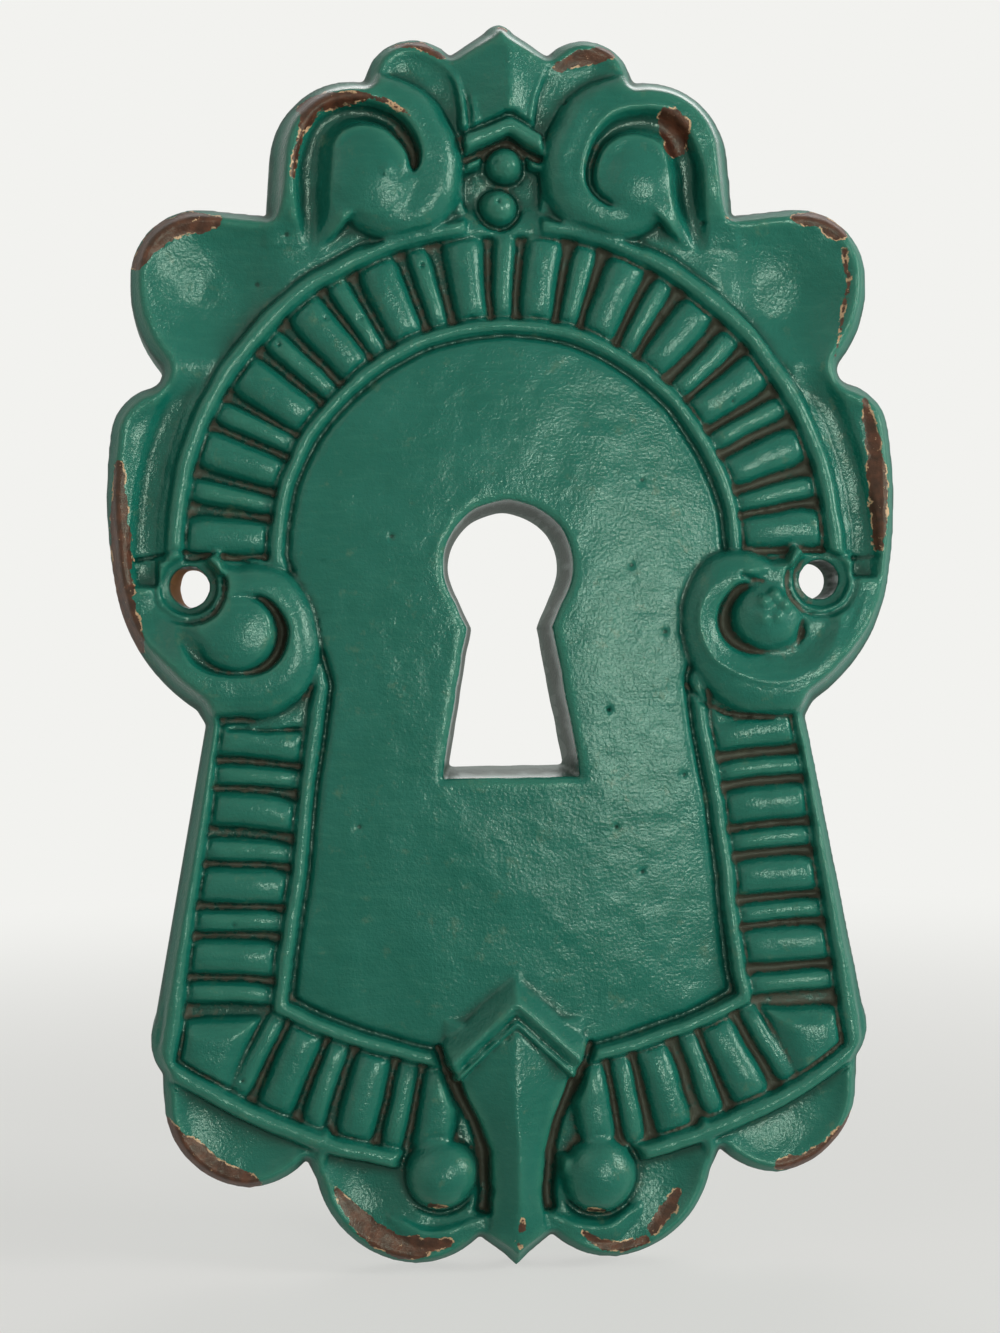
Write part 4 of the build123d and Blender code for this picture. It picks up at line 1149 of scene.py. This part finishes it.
class ESCUTCHEON_OT_stage(bpy.types.Operator):
    """Set the pale floor, the soft lights and the camera"""

    bl_idname = "escutcheon.stage"
    bl_label = "Stage"

    backdrop = linear("#f2f2ef")

    def execute(self, context):
        scene = context.scene
        self.world(scene)
        self.floor()
        self.lamps(scene)
        self.camera(scene)
        scene.view_settings.view_transform = "Standard"
        return {"FINISHED"}

    def looked_at(self, tree):
        """1 where the lens, a reflection or a view through something sees a surface, 0 where it only lights."""
        seen = node(tree, "LightPath", out="Is Camera Ray")
        for way in ("Is Glossy Ray", "Is Transmission Ray"):
            seen = node(tree, "Math", [seen, node(tree, "LightPath", out=way)], operation="MAXIMUM")
        return seen

    def world(self, scene):
        """A pale room that lights softly from all sides."""
        world = bpy.data.worlds.new("pale_room")
        world.use_nodes = True
        tree = world.node_tree
        tree.nodes.clear()
        light = node(tree, "Background", {"Color": linear("#e9e9e6"), "Strength": 0.2})
        seen = node(tree, "Background", {"Color": self.backdrop, "Strength": 1.0})
        mixed = node(tree, "MixShader", [self.looked_at(tree), light, seen])
        node(tree, "OutputWorld", {"Surface": mixed})
        scene.world = world

    def floor(self):
        """A wide pale floor under the pendant's tip, which runs out into the room's own colour."""
        half_size = 1500 * MM
        level = CAD_BOX[0][2] - 0.5 * MM
        floor = bmesh.new()
        bmesh.ops.create_grid(floor, x_segments=1, y_segments=1, size=half_size)
        bmesh.ops.translate(floor, verts=floor.verts, vec=(0, 0, level))
        obj = as_object("floor", floor)
        material = bpy.data.materials.new("pale_floor")
        material.use_nodes = True
        tree = material.node_tree
        tree.nodes.clear()
        distance = node(tree, "VectorMath", [node(tree, "TexCoord", out="Object")], "Value", operation="LENGTH")
        plain = node(tree, "MapRange", [distance, 0.1, 0.5, 0.62, 1.0], interpolation_type="SMOOTHSTEP")
        share = node(tree, "Math", [plain, self.looked_at(tree)], operation="MULTIPLY")
        lit = node(tree, "BsdfDiffuse", {"Color": linear("#e4e4e0")})
        glow = node(tree, "Emission", {"Color": self.backdrop, "Strength": 1.0})
        node(tree, "OutputMaterial", {"Surface": node(tree, "MixShader", [share, lit, glow])})
        obj.data.materials.append(material)

    def lamps(self, scene):
        """A tall soft lamp right of the lens, one farther round to the right, and weak ones left and behind."""
        middle = Vector((0, 0, -8 * MM))
        for name, azimuth, elevation, distance, size, power in (
            ("key", 19, -8, 0.75, (0.15, 0.4), 4.3),
            ("side", 64, 14, 0.8, (0.25, 0.3), 3.2),
            ("fill", -45, 30, 0.9, (0.5, 0.5), 0.5),
            ("back", 170, 35, 0.9, (0.6, 0.6), 2.0),
        ):
            data = bpy.data.lights.new(name, "AREA")
            data.shape = "RECTANGLE"
            data.size, data.size_y = size
            data.energy = power
            lamp = bpy.data.objects.new(name, data)
            turn = math.radians(azimuth)
            rise = math.radians(elevation)
            spot = Vector((math.sin(turn) * math.cos(rise), -math.cos(turn) * math.cos(rise), math.sin(rise)))
            lamp.location = middle + spot * distance
            lamp.rotation_euler = (-spot).to_track_quat("-Z", "Y").to_euler()
            scene.collection.objects.link(lamp)

    def camera(self, scene):
        """The photograph's view: nearly square on, from a little left, at arm's length."""
        far = 300.0 * MM
        sensor = 36.0
        turned = math.radians(-4.159)
        tipped = math.radians(0.84)
        aim = (-0.523 * MM, 0, -10.546 * MM)
        data = bpy.data.cameras.new("camera")
        data.sensor_fit = "VERTICAL"
        data.sensor_height = sensor
        data.lens = sensor * far / (MM_PER_PIXEL * PHOTO_HEIGHT * MM)
        data.clip_start = 0.01
        camera = bpy.data.objects.new("camera", data)
        camera.matrix_world = (Matrix.Translation((0, 0, aim[2])) @ Matrix.Rotation(turned, 4, "Z")
                               @ Matrix.Rotation(tipped, 4, "Y") @ Matrix.Translation((aim[0], -far, 0))
                               @ Matrix.Rotation(math.pi / 2, 4, "X"))
        scene.collection.objects.link(camera)
        scene.camera = camera


class ESCUTCHEON_PT_panel(bpy.types.Panel):
    """Lists the steps that build the plate"""

    bl_label = "Keyhole escutcheon"
    bl_idname = "ESCUTCHEON_PT_panel"
    bl_space_type = "VIEW_3D"
    bl_region_type = "UI"
    bl_category = "Escutcheon"

    def draw(self, context):
        for step in STEPS:
            self.layout.operator(step.bl_idname)
        for group in (context.scene.escutcheon_sizes, context.scene.escutcheon_colours):
            for name in group.bl_rna.properties.keys():
                if name not in ("rna_type", "name"):
                    self.layout.prop(group, name)


STEPS = (
    ESCUTCHEON_OT_ground,
    ESCUTCHEON_OT_border,
    ESCUTCHEON_OT_scrolls,
    ESCUTCHEON_OT_crest,
    ESCUTCHEON_OT_pendant,
    ESCUTCHEON_OT_openings,
    ESCUTCHEON_OT_wear,
    ESCUTCHEON_OT_cast,
    ESCUTCHEON_OT_stage,
)
CLASSES = (EscutcheonSizes, EscutcheonColours, *STEPS, ESCUTCHEON_PT_panel)


def register():
    for made in CLASSES:
        bpy.utils.register_class(made)
    bpy.types.Scene.escutcheon_sizes = bpy.props.PointerProperty(type=EscutcheonSizes)
    bpy.types.Scene.escutcheon_colours = bpy.props.PointerProperty(type=EscutcheonColours)


def unregister():
    del bpy.types.Scene.escutcheon_colours
    del bpy.types.Scene.escutcheon_sizes
    for made in reversed(CLASSES):
        bpy.utils.unregister_class(made)


def main():
    """Build the plate and its stage."""
    register()
    for step in STEPS:
        group, name = step.bl_idname.split(".")
        getattr(getattr(bpy.ops, group), name)()


if __name__ == "__main__":
    main()
